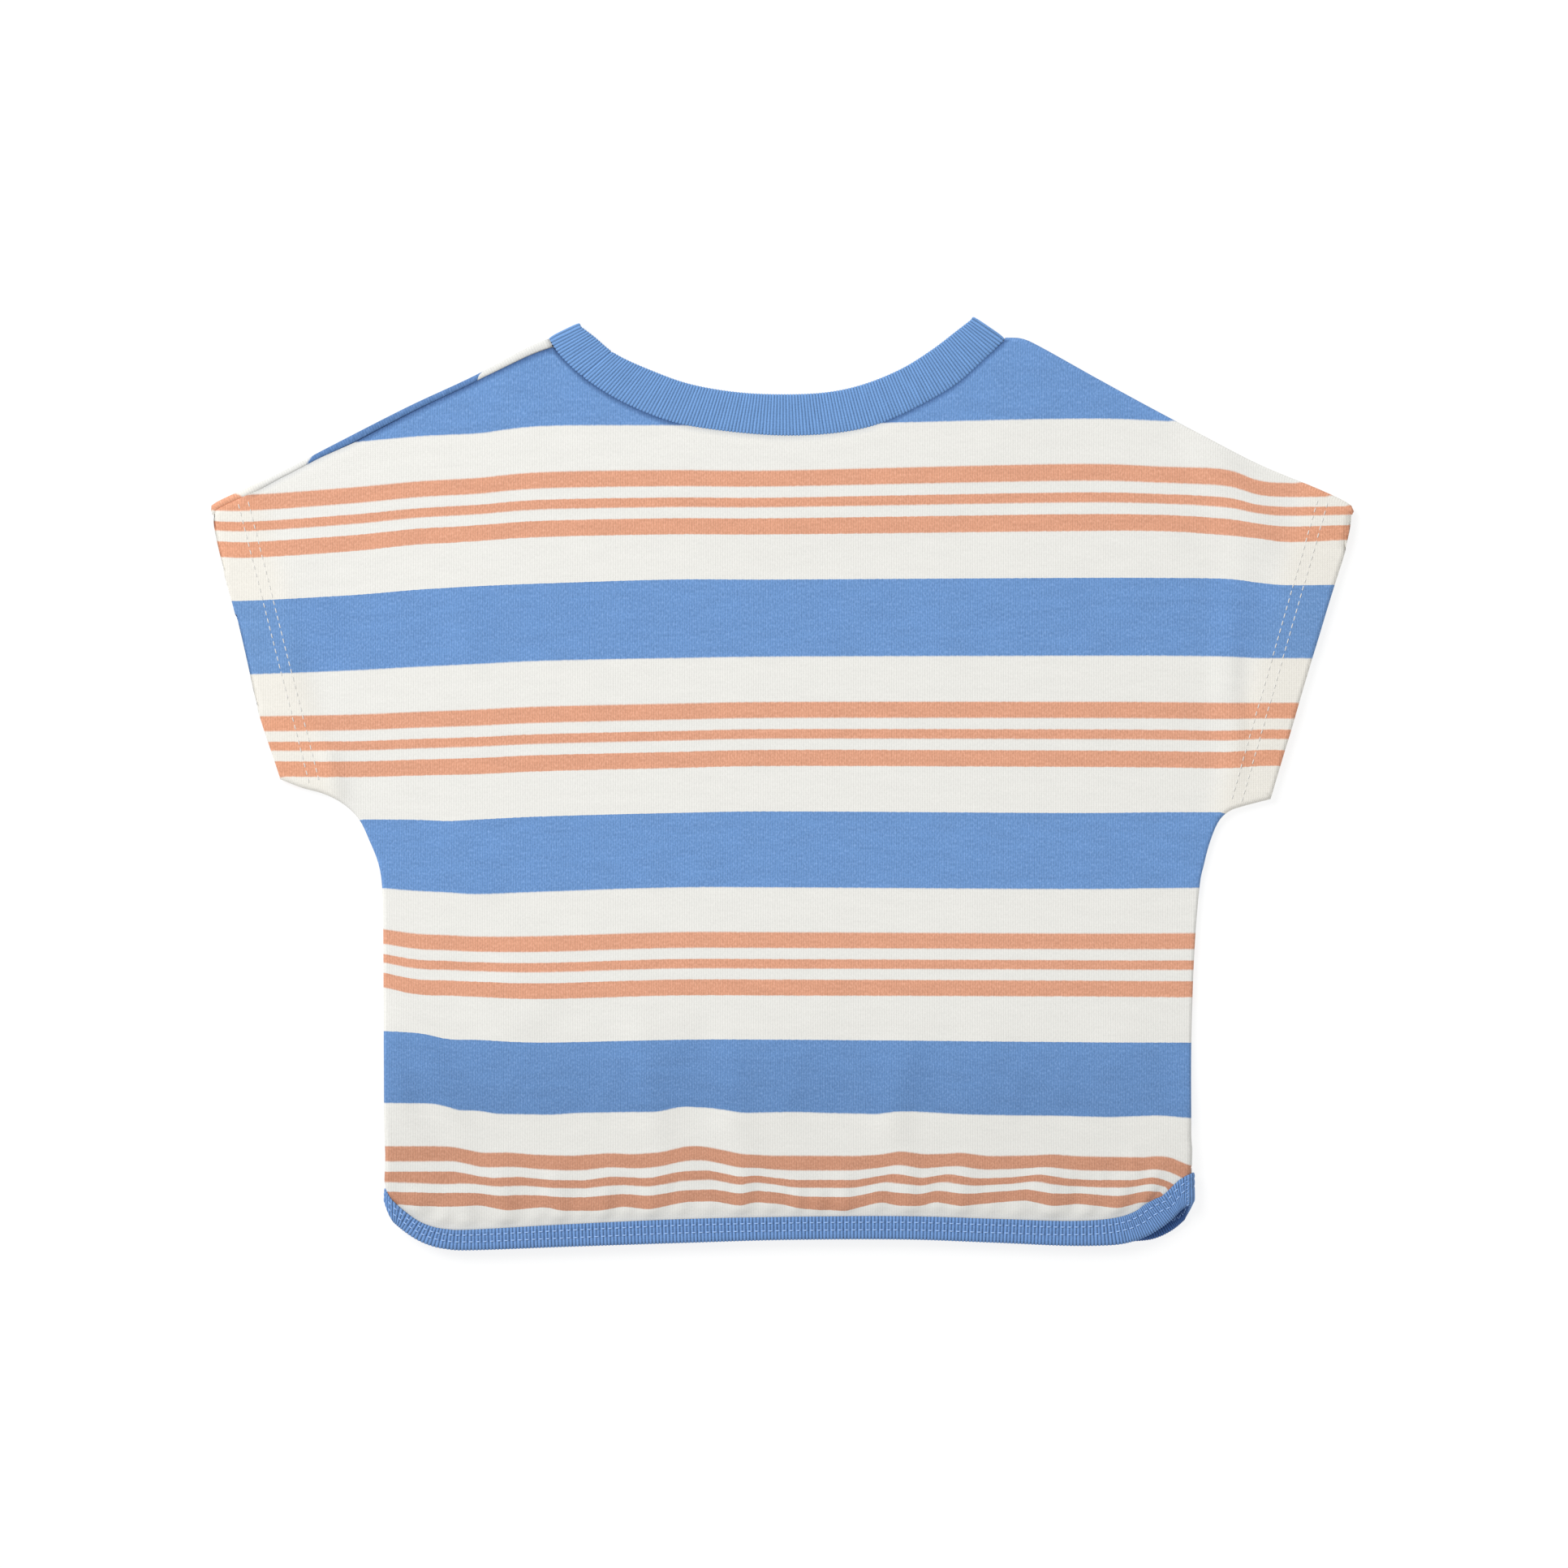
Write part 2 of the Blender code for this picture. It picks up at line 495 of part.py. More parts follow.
def make_panel(layer, collection):
    """A panel: a grid laid on the sheet's points, cut to the cloth, with its wall."""
    points, cells = panel_points(layer)
    row_count, column_count = points.shape[:2]
    mesh = bpy.data.meshes.new(layer + "_panel")
    cloth = bmesh.new()
    bmesh.ops.create_grid(cloth, x_segments=column_count - 1, y_segments=row_count - 1, size=1.0)
    cloth.verts.ensure_lookup_table()
    cloth.faces.ensure_lookup_table()
    ordered = sorted(cloth.verts, key=lambda v: (round(v.co.y, 5), round(v.co.x, 5)))
    place = {vertex: divmod(number, column_count) for number, vertex in enumerate(ordered)}
    spare = []
    for face in cloth.faces:
        corner = min(place[vertex] for vertex in face.verts)
        if not cells[corner]:
            spare.append(face)
    for vertex, (row, column) in place.items():
        vertex.co = points[row, column] * (FIT * MM, FIT * MM, MM)
    bmesh.ops.delete(cloth, geom=spare, context="FACES")
    bmesh.ops.recalc_face_normals(cloth, faces=cloth.faces)
    cloth.to_mesh(mesh)
    cloth.free()
    panel = bpy.data.objects.new(layer + "_panel", mesh)
    collection.objects.link(panel)
    co = np.array([vertex.co for vertex in mesh.vertices]) / MM
    weights = doubled(co[:, 0] / FIT, co[:, 1] / FIT)
    group = panel.vertex_groups.new(name="turned_in")
    for index, weight in enumerate(weights):
        group.add([index], float(np.clip(weight, 0.0, 1.0)), "REPLACE")
    thick = panel.modifiers.new("cloth wall", "SOLIDIFY")
    thick.thickness = CUFF_WALL * MM
    thick.offset = 0.0
    thick.use_even_offset = True
    thick.vertex_group = group.name
    thick.thickness_vertex_group = WALL / CUFF_WALL
    return panel


# ---------------------------------------------------------------- the two rings

def ring_object(name, points, collection):
    """A closed ring: a torus whose points take the places given, station by station."""
    stations, around = points.shape[:2]
    bpy.ops.mesh.primitive_torus_add(major_segments=stations, minor_segments=around)
    ring = bpy.context.object
    ring.name = name
    ring.data.name = name
    ring.data.vertices.foreach_set("co", (points * (FIT * MM, FIT * MM, MM)).ravel())
    shape = bmesh.new()
    shape.from_mesh(ring.data)
    bmesh.ops.recalc_face_normals(shape, faces=shape.faces)
    shape.to_mesh(ring.data)
    shape.free()
    for owner in list(ring.users_collection):
        owner.objects.unlink(ring)
    collection.objects.link(ring)
    return ring


def band_station(seam, opening, out, half):
    """Section of the neckband: a flat strip with rounded edges, out being its outer face."""
    across = opening - seam
    width = np.linalg.norm(across)
    profile = ((0.0, 0.0), (0.10, 0.62), (0.22, 1.0), (0.5, 1.0), (0.78, 1.0), (0.90, 0.62),
               (1.0, 0.0), (0.90, -0.62), (0.78, -1.0), (0.5, -1.0), (0.22, -1.0), (0.10, -0.62))
    edge = 2.2 * half
    section = []
    for share, lift in profile:
        run = share * edge / 0.22 if share < 0.22 else share * width
        if share > 0.78:
            run = width - (1.0 - share) * edge / 0.22
        if share in (0.22, 0.78):
            run = edge if share < 0.5 else width - edge
        section.append(seam + across / width * run + out * lift * half)
    return section


def neckband_points():
    """Stations of the neckband: over the back neck, round a shoulder, and back in front."""
    half = BAND_THICKNESS / 2
    radius = (BAND_LEVEL["back"] - BAND_LEVEL["front"]) / 2
    middle = (BAND_LEVEL["back"] + BAND_LEVEL["front"]) / 2
    up = np.array([0.0, 0.0, 1.0])
    stations = []
    for layer, sign in (("back", 1), ("front", -1)):
        rows = np.array(NECK_ROWS[layer])[::sign]
        for end, side in ((0, -sign), (-1, sign)):
            way = neck_fold_way(rows[end], side)
            rows[end, 0:2] -= way * (radius + half)
            rows[end, 2:4] -= way * (radius + half)
        line = along(smooth_line(rows), np.linspace(0.0, 1.0, BAND_STATIONS))
        for seam_x, seam_y, open_x, open_y, droop in line:
            seam = np.array([seam_x, seam_y, BAND_LEVEL[layer]])
            opening = np.array([open_x, open_y, BAND_LEVEL[layer] - droop])
            stations.append(band_station(seam, opening, up * sign, half))
        seam_x, seam_y, open_x, open_y, _ = rows[-1]
        way = np.append(neck_fold_way(rows[-1], sign), 0.0)
        for step in range(1, BAND_FOLD_STEPS):
            angle = math.pi * step / BAND_FOLD_STEPS
            out = way * math.sin(angle) + up * sign * math.cos(angle)
            seam = np.array([seam_x, seam_y, middle]) + out * radius
            opening = np.array([open_x, open_y, middle]) + out * radius
            stations.append(band_station(seam, opening, out, half))
    return np.array(stations)


def make_neckband(collection):
    """The folded rib strip round the neck."""
    return ring_object("neckband", neckband_points(), collection)


def binding_station(x, z, out, edge, top, steepness):
    """Section of the binding, a U round the cloth's edge that opens towards the neck."""
    near = BIND_OUT - BIND_WALL
    mid = edge + 1.4 * steepness
    floor = edge + 1.05 * steepness
    profile = ((BIND_OUT, top), (BIND_OUT, mid), (0.72 * BIND_OUT, edge + 0.4), (0.0, edge),
               (-0.72 * BIND_OUT, edge + 0.4), (-BIND_OUT, mid), (-BIND_OUT, top), (-near, top),
               (-near, mid), (-0.5 * near, floor), (0.5 * near, floor), (near, mid), (near, top))
    return [(x + out[0] * away, y, z + out[1] * away) for away, y in profile]


def binding_points():
    """Stations of the binding: along the back hem, round a side, back along the front."""
    radius = (HEM_LEVEL["back"] - HEM_LEVEL["front"]) / 2
    middle = (HEM_LEVEL["back"] + HEM_LEVEL["front"]) / 2
    left_x = HEM["back"][0][0] + radius + BIND_OUT
    right_x = HEM["back"][-1][0] - radius - BIND_OUT
    stations = []
    for layer, sign in (("back", 1), ("front", -1)):
        start, end = (left_x, right_x) if sign > 0 else (right_x, left_x)
        for x in np.linspace(start, end, BINDING_STATIONS):
            edge, top, steepness = hem_at(layer, x)
            stations.append(binding_station(x, HEM_LEVEL[layer], (0.0, sign), edge, top, steepness))
        quarter = [share * math.pi / 2 for share in QUARTER_SHARES]
        for angle in quarter + [math.pi - turn for turn in quarter[-2::-1]]:
            across, rise = sign * math.sin(angle), sign * math.cos(angle)
            near_layer = layer if angle <= math.pi / 2 else {"back": "front", "front": "back"}[layer]
            edge, top, steepness = hem_at(near_layer, end + across * (radius + BIND_OUT))
            stations.append(binding_station(end + across * radius, middle + rise * radius,
                                            (across, rise), edge, top, steepness))
    return np.array(stations)


def make_binding(collection):
    """The rib strip folded over the hem."""
    return ring_object("hem_binding", binding_points(), collection)


# ---------------------------------------------------------------- finish and assembly

def cloth_material(name, colour, roughness):
    """A plain matt cloth finish."""
    material = bpy.data.materials.new(name)
    material.use_nodes = True
    shader = material.node_tree.nodes["Principled BSDF"]
    shader.inputs["Base Color"].default_value = (*colour, 1.0)
    shader.inputs["Roughness"].default_value = roughness
    shader.inputs["Metallic"].default_value = 0.0
    return material


def main():
    for thing in list(bpy.data.objects):
        bpy.data.objects.remove(thing, do_unlink=True)
    shirt = bpy.data.collections.new("t_shirt")
    bpy.context.scene.collection.children.link(shirt)

    make_panel("front", shirt).data.materials.append(cloth_material("front_jersey", CREAM, 0.9))
    make_panel("back", shirt).data.materials.append(cloth_material("back_jersey", CREAM, 0.9))
    make_neckband(shirt).data.materials.append(cloth_material("neck_rib", BLUE, 0.9))
    make_binding(shirt).data.materials.append(cloth_material("hem_rib", DEEP_BLUE, 0.9))
    for piece in shirt.objects:
        piece.data.shade_smooth()
        piece.data.set_sharp_from_angle(angle=math.radians(50.0))


main()
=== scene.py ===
# %% [markdown]
# # A toddler's striped T-shirt, laid flat with its back side up
#
# The shirt is cotton jersey knitted in stripes. A sewing room makes it from four cut
# pieces: a front and a back whose short sleeves are cut in one with the body, a folded
# rib strip round the neck, and a rib strip that binds the curved hem all round.
#
# A flat garment could be modelled as one thin plate with a picture on it. Here each cut
# piece is a surface of its own instead, worked out with numpy as a function of two
# parameters, so that folds, gathers and stripes are all things that can be changed by hand.
#
# Everything is drawn in millimetres as seen from above, with the neck towards +Y, and
# goes into Blender in metres.

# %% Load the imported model
import math

import bpy
import numpy as np
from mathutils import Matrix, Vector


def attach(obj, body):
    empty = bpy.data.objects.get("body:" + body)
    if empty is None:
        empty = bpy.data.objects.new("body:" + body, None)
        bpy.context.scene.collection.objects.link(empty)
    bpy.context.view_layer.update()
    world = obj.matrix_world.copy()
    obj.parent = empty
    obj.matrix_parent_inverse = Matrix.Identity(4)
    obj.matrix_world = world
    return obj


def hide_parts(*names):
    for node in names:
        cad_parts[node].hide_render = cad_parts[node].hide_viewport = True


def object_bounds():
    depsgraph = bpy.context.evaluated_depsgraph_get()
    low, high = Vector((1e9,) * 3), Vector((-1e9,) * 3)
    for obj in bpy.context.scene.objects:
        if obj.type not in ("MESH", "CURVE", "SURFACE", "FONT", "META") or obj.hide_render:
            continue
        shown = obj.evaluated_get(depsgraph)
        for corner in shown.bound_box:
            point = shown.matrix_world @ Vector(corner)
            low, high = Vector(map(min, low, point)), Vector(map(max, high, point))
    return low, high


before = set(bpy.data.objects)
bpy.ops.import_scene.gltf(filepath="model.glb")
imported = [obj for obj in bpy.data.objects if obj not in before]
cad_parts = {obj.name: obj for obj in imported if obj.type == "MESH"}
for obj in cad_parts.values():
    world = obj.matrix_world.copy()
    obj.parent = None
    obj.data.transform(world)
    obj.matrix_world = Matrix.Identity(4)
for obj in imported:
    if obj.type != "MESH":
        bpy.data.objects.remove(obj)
cad_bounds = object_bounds()

MM = 0.001
DRAWN_WIDTH = 436.7
FIT = (cad_bounds[1][0] - cad_bounds[0][0]) / MM / DRAWN_WIDTH
print(f"the drawing is scaled by {FIT:.4f} to the packed model")

# %% [markdown]
# ## Camera, floor and light
#
# The shirt lies on a table and the camera hangs straight above it. A long lens keeps the
# edges from leaning outwards, so the camera stands well back and the width that it sees
# sets its height.
#
# The light is soft, as from a large window behind the left shoulder: a wide area lamp on
# that side gives the folds a little shade, and an even white sky fills the rest. The
# floor is a lit table: it glows faintly, so it stays white and takes only a weak shadow,
# as the ground of a catalogue picture does.

# %% Camera
VIEW_WIDTH = 598.9
VIEW_CENTRE = (0.6, -0.2)
CLOTH_LEVEL = 5.0
LENS = 100.0
SENSOR = 36.0

camera_data = bpy.data.cameras.new("overhead")
camera_data.lens = LENS
camera_data.sensor_width = SENSOR
camera_data.clip_end = 20.0
camera = bpy.data.objects.new("overhead", camera_data)
bpy.context.scene.collection.objects.link(camera)
camera_height = VIEW_WIDTH * LENS / SENSOR + CLOTH_LEVEL
camera.location = (VIEW_CENTRE[0] * MM, VIEW_CENTRE[1] * MM, camera_height * MM)
bpy.context.scene.camera = camera
print(f"the camera is {camera_height:.0f} mm above the floor")

# %% Floor and light
FLOOR_SIZE = 14.0
FLOOR_DROP = 0.0003
FLOOR_WHITE = 0.22
FLOOR_GLOW = 0.80
FLOOR_ROUGHNESS = 0.95
SKY_STRENGTH = 0.61
LAMP_PLACE = (-1.7, 1.5, 2.2)
LAMP_SIZE = 1.6
LAMP_POWER = 76.0

floor_mesh = bpy.data.meshes.new("floor")
half_floor = FLOOR_SIZE / 2
floor_mesh.from_pydata([(-half_floor, -half_floor, -FLOOR_DROP), (half_floor, -half_floor, -FLOOR_DROP),
                        (half_floor, half_floor, -FLOOR_DROP), (-half_floor, half_floor, -FLOOR_DROP)],
                       [], [(0, 1, 2, 3)])
floor = bpy.data.objects.new("floor", floor_mesh)
bpy.context.scene.collection.objects.link(floor)
floor_paint = bpy.data.materials.new("floor_white")
floor_paint.use_nodes = True
floor_shader = floor_paint.node_tree.nodes["Principled BSDF"]
floor_shader.inputs["Base Color"].default_value = (FLOOR_WHITE, FLOOR_WHITE, FLOOR_WHITE, 1.0)
floor_shader.inputs["Roughness"].default_value = FLOOR_ROUGHNESS
floor_shader.inputs["Specular IOR Level"].default_value = 0.0
floor_shader.inputs["Emission Color"].default_value = (1.0, 1.0, 1.0, 1.0)
floor_shader.inputs["Emission Strength"].default_value = FLOOR_GLOW
floor_mesh.materials.append(floor_paint)

lamp_data = bpy.data.lights.new("window", "AREA")
lamp_data.shape = "SQUARE"
lamp_data.size = LAMP_SIZE
lamp_data.energy = LAMP_POWER
lamp = bpy.data.objects.new("window", lamp_data)
lamp.location = LAMP_PLACE
lamp.rotation_euler = (-lamp.location).to_track_quat("-Z", "Y").to_euler()
bpy.context.scene.collection.objects.link(lamp)

sky = bpy.data.worlds.new("sky")
sky.use_nodes = True
sky.node_tree.nodes["Background"].inputs["Color"].default_value = (1.0, 1.0, 1.0, 1.0)
sky.node_tree.nodes["Background"].inputs["Strength"].default_value = SKY_STRENGTH
bpy.context.scene.world = sky
bpy.context.scene.view_settings.view_transform = "Standard"

# %% [markdown]
# ## Lines and steps
#
# Every outline below is a short list of places with a smooth curve through them. The
# curve is a Catmull-Rom spline: between two places it is a cubic that passes through
# both and leaves each in the direction of its two neighbours. A table may have any
# number of columns, and all of them are carried along together.

# %% Helpers for lines

def smoothstep(low, high, value):
    """0 below low, 1 above high and 3t^2 - 2t^3 between them, t being the share of the way."""
    share = np.clip((value - low) / (high - low), 0.0, 1.0)
    return share * share * (3.0 - 2.0 * share)


def smooth_line(points, steps=24):
    """A dense Catmull-Rom curve through the points."""
    p = np.array(points, dtype=float)
    p = np.vstack([2 * p[0] - p[1], p, 2 * p[-1] - p[-2]])
    t = np.linspace(0.0, 1.0, steps, endpoint=False)[None, :, None]
    a, b, c, d = p[:-3, None], p[1:-2, None], p[2:-1, None], p[3:, None]
    bend = (2 * a - 5 * b + 4 * c - d) * t ** 2 + (3 * b - a - 3 * c + d) * t ** 3
    dense = 0.5 * (2 * b + (c - a) * t + bend)
    return np.vstack([dense.reshape(-1, p.shape[1]), p[-2:-1]])


def run_lengths(line, axes=2):
    """Distance along a line, from its start to each of its points, over its first axes."""
    steps = np.linalg.norm(np.diff(line[:, :axes], axis=0), axis=1)
    return np.concatenate([[0.0], np.cumsum(steps)])


def along(line, where):
    """Points of a dense line at the given shares of its length."""
    run = run_lengths(line)
    return np.stack([np.interp(where * run[-1], run, column) for column in line.T], axis=1)


def unit(vectors):
    """Vectors brought to length 1."""
    return vectors / np.maximum(np.linalg.norm(vectors, axis=-1, keepdims=True), 1e-12)


def left_of(line):
    """Unit normals on the left-hand side of a line."""
    run = np.gradient(line[:, :2], axis=0)
    return unit(np.stack([-run[:, 1], run[:, 0]], axis=1))


print("a smooth line through 3 places has", len(smooth_line([(0, 0), (1, 1), (2, 0)])), "points")

# %% [markdown]
# ## The cut of the shirt
#
# These are the places that give the shirt its shape on the table: where its shoulders
# and sides are folded, where the binding and the neckband run, and which folds and
# gathers the cloth lies in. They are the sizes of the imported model, so the finer
# surfaces made from them lie in the same place.
#
# On the left the shoulder seam has rolled a little to the back, so a narrow strip of the
# front shows above it. On the right the fold is on the seam.

# %% Thicknesses and levels
WALL = 1.0
CUFF_WALL = 1.7
CUFF_STEP = (12.5, 25.0)
HOLLOW = 1.0
CUFF_CLOSE = 0.6
SEAM_GAP = 0.3
BAND_THICKNESS = 1.8
BAND_LEVEL = {"front": 0.9, "back": 3.1}
NECK_LIFT = 0.6
BIND_WALL = 1.0
HEM_EDGE_INSET = 2.0
ABOVE_BINDING = 0.6
NECK_TUCK = 0.25
SHOULDER_GAP = 0.4
BIND_OUT = WALL / 2 + SEAM_GAP + BIND_WALL
HEM_LEVEL = {"front": BIND_OUT, "back": 3 * BIND_OUT + SEAM_GAP}
HEM_RISE_START = 30.0
HEM_RISE_END = 2.5
HEM_PUFF = {"back": 1.5, "front": 0.4}
PUFF_PLACE = 24.0
PUFF_WIDTH = 13.0
CUFF_DROOP = {"back": 0.1, "front": 0.0}
CUFF_DROOP_REACH = 6.0
HEM_BULGE = 0.95

# How far a cuff's edge bows out: share of the way from the underarm to the tip, distance
CUFF_BOW = {
    -1: ((0.0, 0.0), (0.08, 0.6), (0.18, 1.4), (0.30, 1.9), (0.42, 1.5), (0.54, 1.2), (0.66, 1.2),
         (0.78, 1.5), (0.90, 1.4), (0.97, 0.9), (1.0, 0.0)),
    1: ((0.0, 0.0), (0.13, 0.1), (0.24, 0.3), (0.35, 0.3), (0.46, 0.4), (0.57, 0.6), (0.69, 0.75),
        (0.78, 1.0), (0.85, 1.25), (0.90, 1.25), (0.94, 1.0), (0.97, 0.6), (1.0, 0.0)),
}
CUFF_TUCK = {"back": 0.0, "front": 0.6}
NECK_CENTRE = (0.0, 172.0)
NECK_RADII = (95.0, 68.0)
NECK_FADE = 1.35

# %% Outlines, from left to right or from the hem upwards: x, y
LEFT_SHOULDER = ((-218.0, 105.2), (-216.2, 107.9), (-193.8, 118.3), (-172.4, 129.4), (-143.2, 144.3),
                 (-118.7, 155.7), (-98.0, 166.6), (-89.7, 170.3))
RIGHT_SHOULDER = ((85.8, 170.6), (92.0, 170.2), (99.5, 166.7), (119.4, 155.6), (140.1, 144.3),
                  (161.2, 133.1), (182.6, 122.1), (204.0, 113.2), (216.4, 107.3), (218.1, 104.6))
LEFT_SIDE = ((-151.2, -157.0), (-151.3, -150.0), (-152.3, -136.0), (-152.6, -100.0), (-152.8, -56.0),
             (-153.2, -40.0), (-154.6, -30.8), (-157.8, -22.5), (-162.0, -13.8), (-168.0, -7.9),
             (-175.5, -4.0), (-184.1, -1.6), (-191.7, 1.6))
RIGHT_SIDE = ((155.6, -150.0), (155.7, -144.0), (156.4, -134.0), (156.5, -100.0), (157.6, -66.0),
              (159.6, -40.0), (161.4, -30.8), (163.6, -22.5), (166.9, -14.6), (171.0, -10.6),
              (175.6, -8.9), (180.4, -7.6), (186.3, -6.0))
UNDERARM_START = 5

# The strip of front above the left shoulder seam: share of the way from cuff to neck, width
SHOULDER_STRIP = ((0.0, 2.5), (0.14, 2.5), (0.22, 1.7), (0.32, 1.9), (0.42, 2.8), (0.56, 2.5),
                  (0.80, 2.0), (0.93, 2.9), (1.0, 3.6))

# Hem binding: x, outer edge y, upper edge y
HEM = {
    "back": ((-152.5, -160.6, -154.7), (-149.5, -166.6, -158.4), (-143.0, -172.2, -164.1),
             (-136.5, -175.8, -167.9), (-129.0, -177.8, -169.9), (-118.0, -178.3, -170.2),
             (-82.0, -177.0, -168.2), (-40.0, -175.6, -166.3), (0.0, -174.4, -165.4),
             (45.0, -174.2, -165.1), (80.0, -175.4, -166.1), (105.0, -176.5, -166.9),
             (120.0, -176.6, -166.6), (130.0, -175.9, -165.2), (138.0, -173.5, -161.9),
             (144.0, -170.2, -156.9), (149.0, -166.4, -152.7), (153.2, -162.3, -150.0),
             (157.7, -160.6, -148.7)),
    "front": ((-152.5, -160.6, -154.7), (-149.5, -166.2, -158.1), (-143.0, -171.6, -163.6),
              (-136.5, -175.1, -167.2), (-129.0, -177.0, -169.0), (-118.0, -177.4, -169.3),
              (-82.0, -176.4, -167.6), (-40.0, -175.0, -166.0), (0.0, -174.0, -165.2),
              (45.0, -173.8, -165.0), (80.0, -174.6, -165.6), (105.0, -175.4, -166.4),
              (122.0, -175.6, -166.6), (137.3, -175.1, -165.8), (143.5, -173.9, -163.8),
              (149.0, -171.2, -160.4), (153.0, -168.0, -157.0), (156.0, -164.6, -153.4),
              (157.7, -160.9, -148.9)),
}

# Neckband: seam edge x, y, opening edge x, y, droop of the opening edge. The first and
# last rows are its folds at the shoulders.
NECK_ROWS = {
    "back": ((-89.4, 170.2, -77.5, 176.0, 0.0), (-84.4, 162.9, -71.8, 170.9, 0.0),
             (-74.8, 154.2, -63.6, 164.3, 0.1), (-60.2, 145.3, -50.6, 158.3, 0.4),
             (-42.0, 138.1, -35.6, 153.0, 0.8), (-21.8, 134.6, -18.0, 149.9, 1.0),
             (0.0, 132.9, 0.0, 149.0, 1.1), (20.0, 133.8, 17.0, 149.8, 1.0),
             (36.2, 137.1, 31.2, 152.9, 0.8), (52.2, 144.2, 45.4, 158.7, 0.4),
             (66.4, 152.5, 57.0, 165.9, 0.1), (77.2, 162.0, 66.2, 172.9, 0.0),
             (85.5, 170.5, 73.1, 179.0, 0.0)),
    "front": ((-89.4, 170.2, -77.5, 176.0, 0.0), (-84.6, 161.0, -71.6, 168.0, 0.0),
              (-76.5, 146.0, -63.0, 153.5, 0.0), (-63.0, 130.0, -51.5, 141.0, 0.0),
              (-44.0, 117.5, -36.0, 131.4, 0.0), (-22.0, 111.0, -18.0, 126.4, 0.0),
              (0.0, 109.0, 0.0, 125.0, 0.0), (21.0, 111.0, 17.5, 126.4, 0.0),
              (42.0, 117.5, 34.5, 131.4, 0.0), (60.5, 130.0, 49.5, 141.4, 0.0),
              (73.0, 146.0, 60.0, 154.6, 0.0), (80.6, 161.0, 67.6, 169.4, 0.0),
              (85.5, 170.5, 73.1, 179.0, 0.0)),
}
print("outlines of", len(LEFT_SHOULDER) + len(RIGHT_SHOULDER), "shoulder and",
      len(LEFT_SIDE) + len(RIGHT_SIDE), "side places")

# %% [markdown]
# ## Folds and gathers
#
# A fold is a soft ridge or hollow along a line: its height falls off across the line as
# a bell curve and fades out past both ends. Gathers are short ridges that stand on the
# binding, because the binding is a little shorter than the cloth it holds. They are as
# uneven in width, height and reach as those of a washed shirt.

# %% Folds and gathers
# A fold runs from x, y, to x, y, with half its width and its height
FOLDS = {
    "back": (
        (162.0, 130.0, 189.0, 86.0, 7.0, 1.3),      # across the right sleeve head
        (150.0, 112.0, 170.0, 70.0, 8.0, -0.35),    # hollow beside it
        (171.0, 76.0, 171.2, 2.0, 4.5, 1.0),        # up from the right underarm
        (177.5, 60.0, 178.0, 8.0, 3.5, -0.30),
        (-174.0, 14.0, -169.0, -6.0, 4.0, 1.0),     # at the left underarm
        (-190.0, 96.0, -176.0, 60.0, 9.0, 0.7),     # left sleeve head
        (-145.0, -88.0, -121.0, -136.0, 6.5, 1.1),  # slanting down the left side
        (-150.0, -112.0, -136.0, -142.0, 7.0, 0.7),
        (-112.0, -74.0, -92.0, -92.0, 12.0, 0.6),   # where the stripes dip left of the middle
        (-55.0, -92.0, -47.0, -140.0, 6.5, 0.9),    # left bank of the lower hollow
        (-36.0, -100.0, -34.0, -132.0, 8.0, -0.40),  # lower hollow
        (-22.0, -96.0, -17.0, -138.0, 7.0, 0.9),    # right bank of it
        (48.0, -100.0, 40.0, -140.0, 6.5, 0.9),     # slanting fold right of the middle
        (128.0, -96.0, 141.0, -140.0, 10.0, 0.7),   # down the right side
    ),
    "front": (),
}

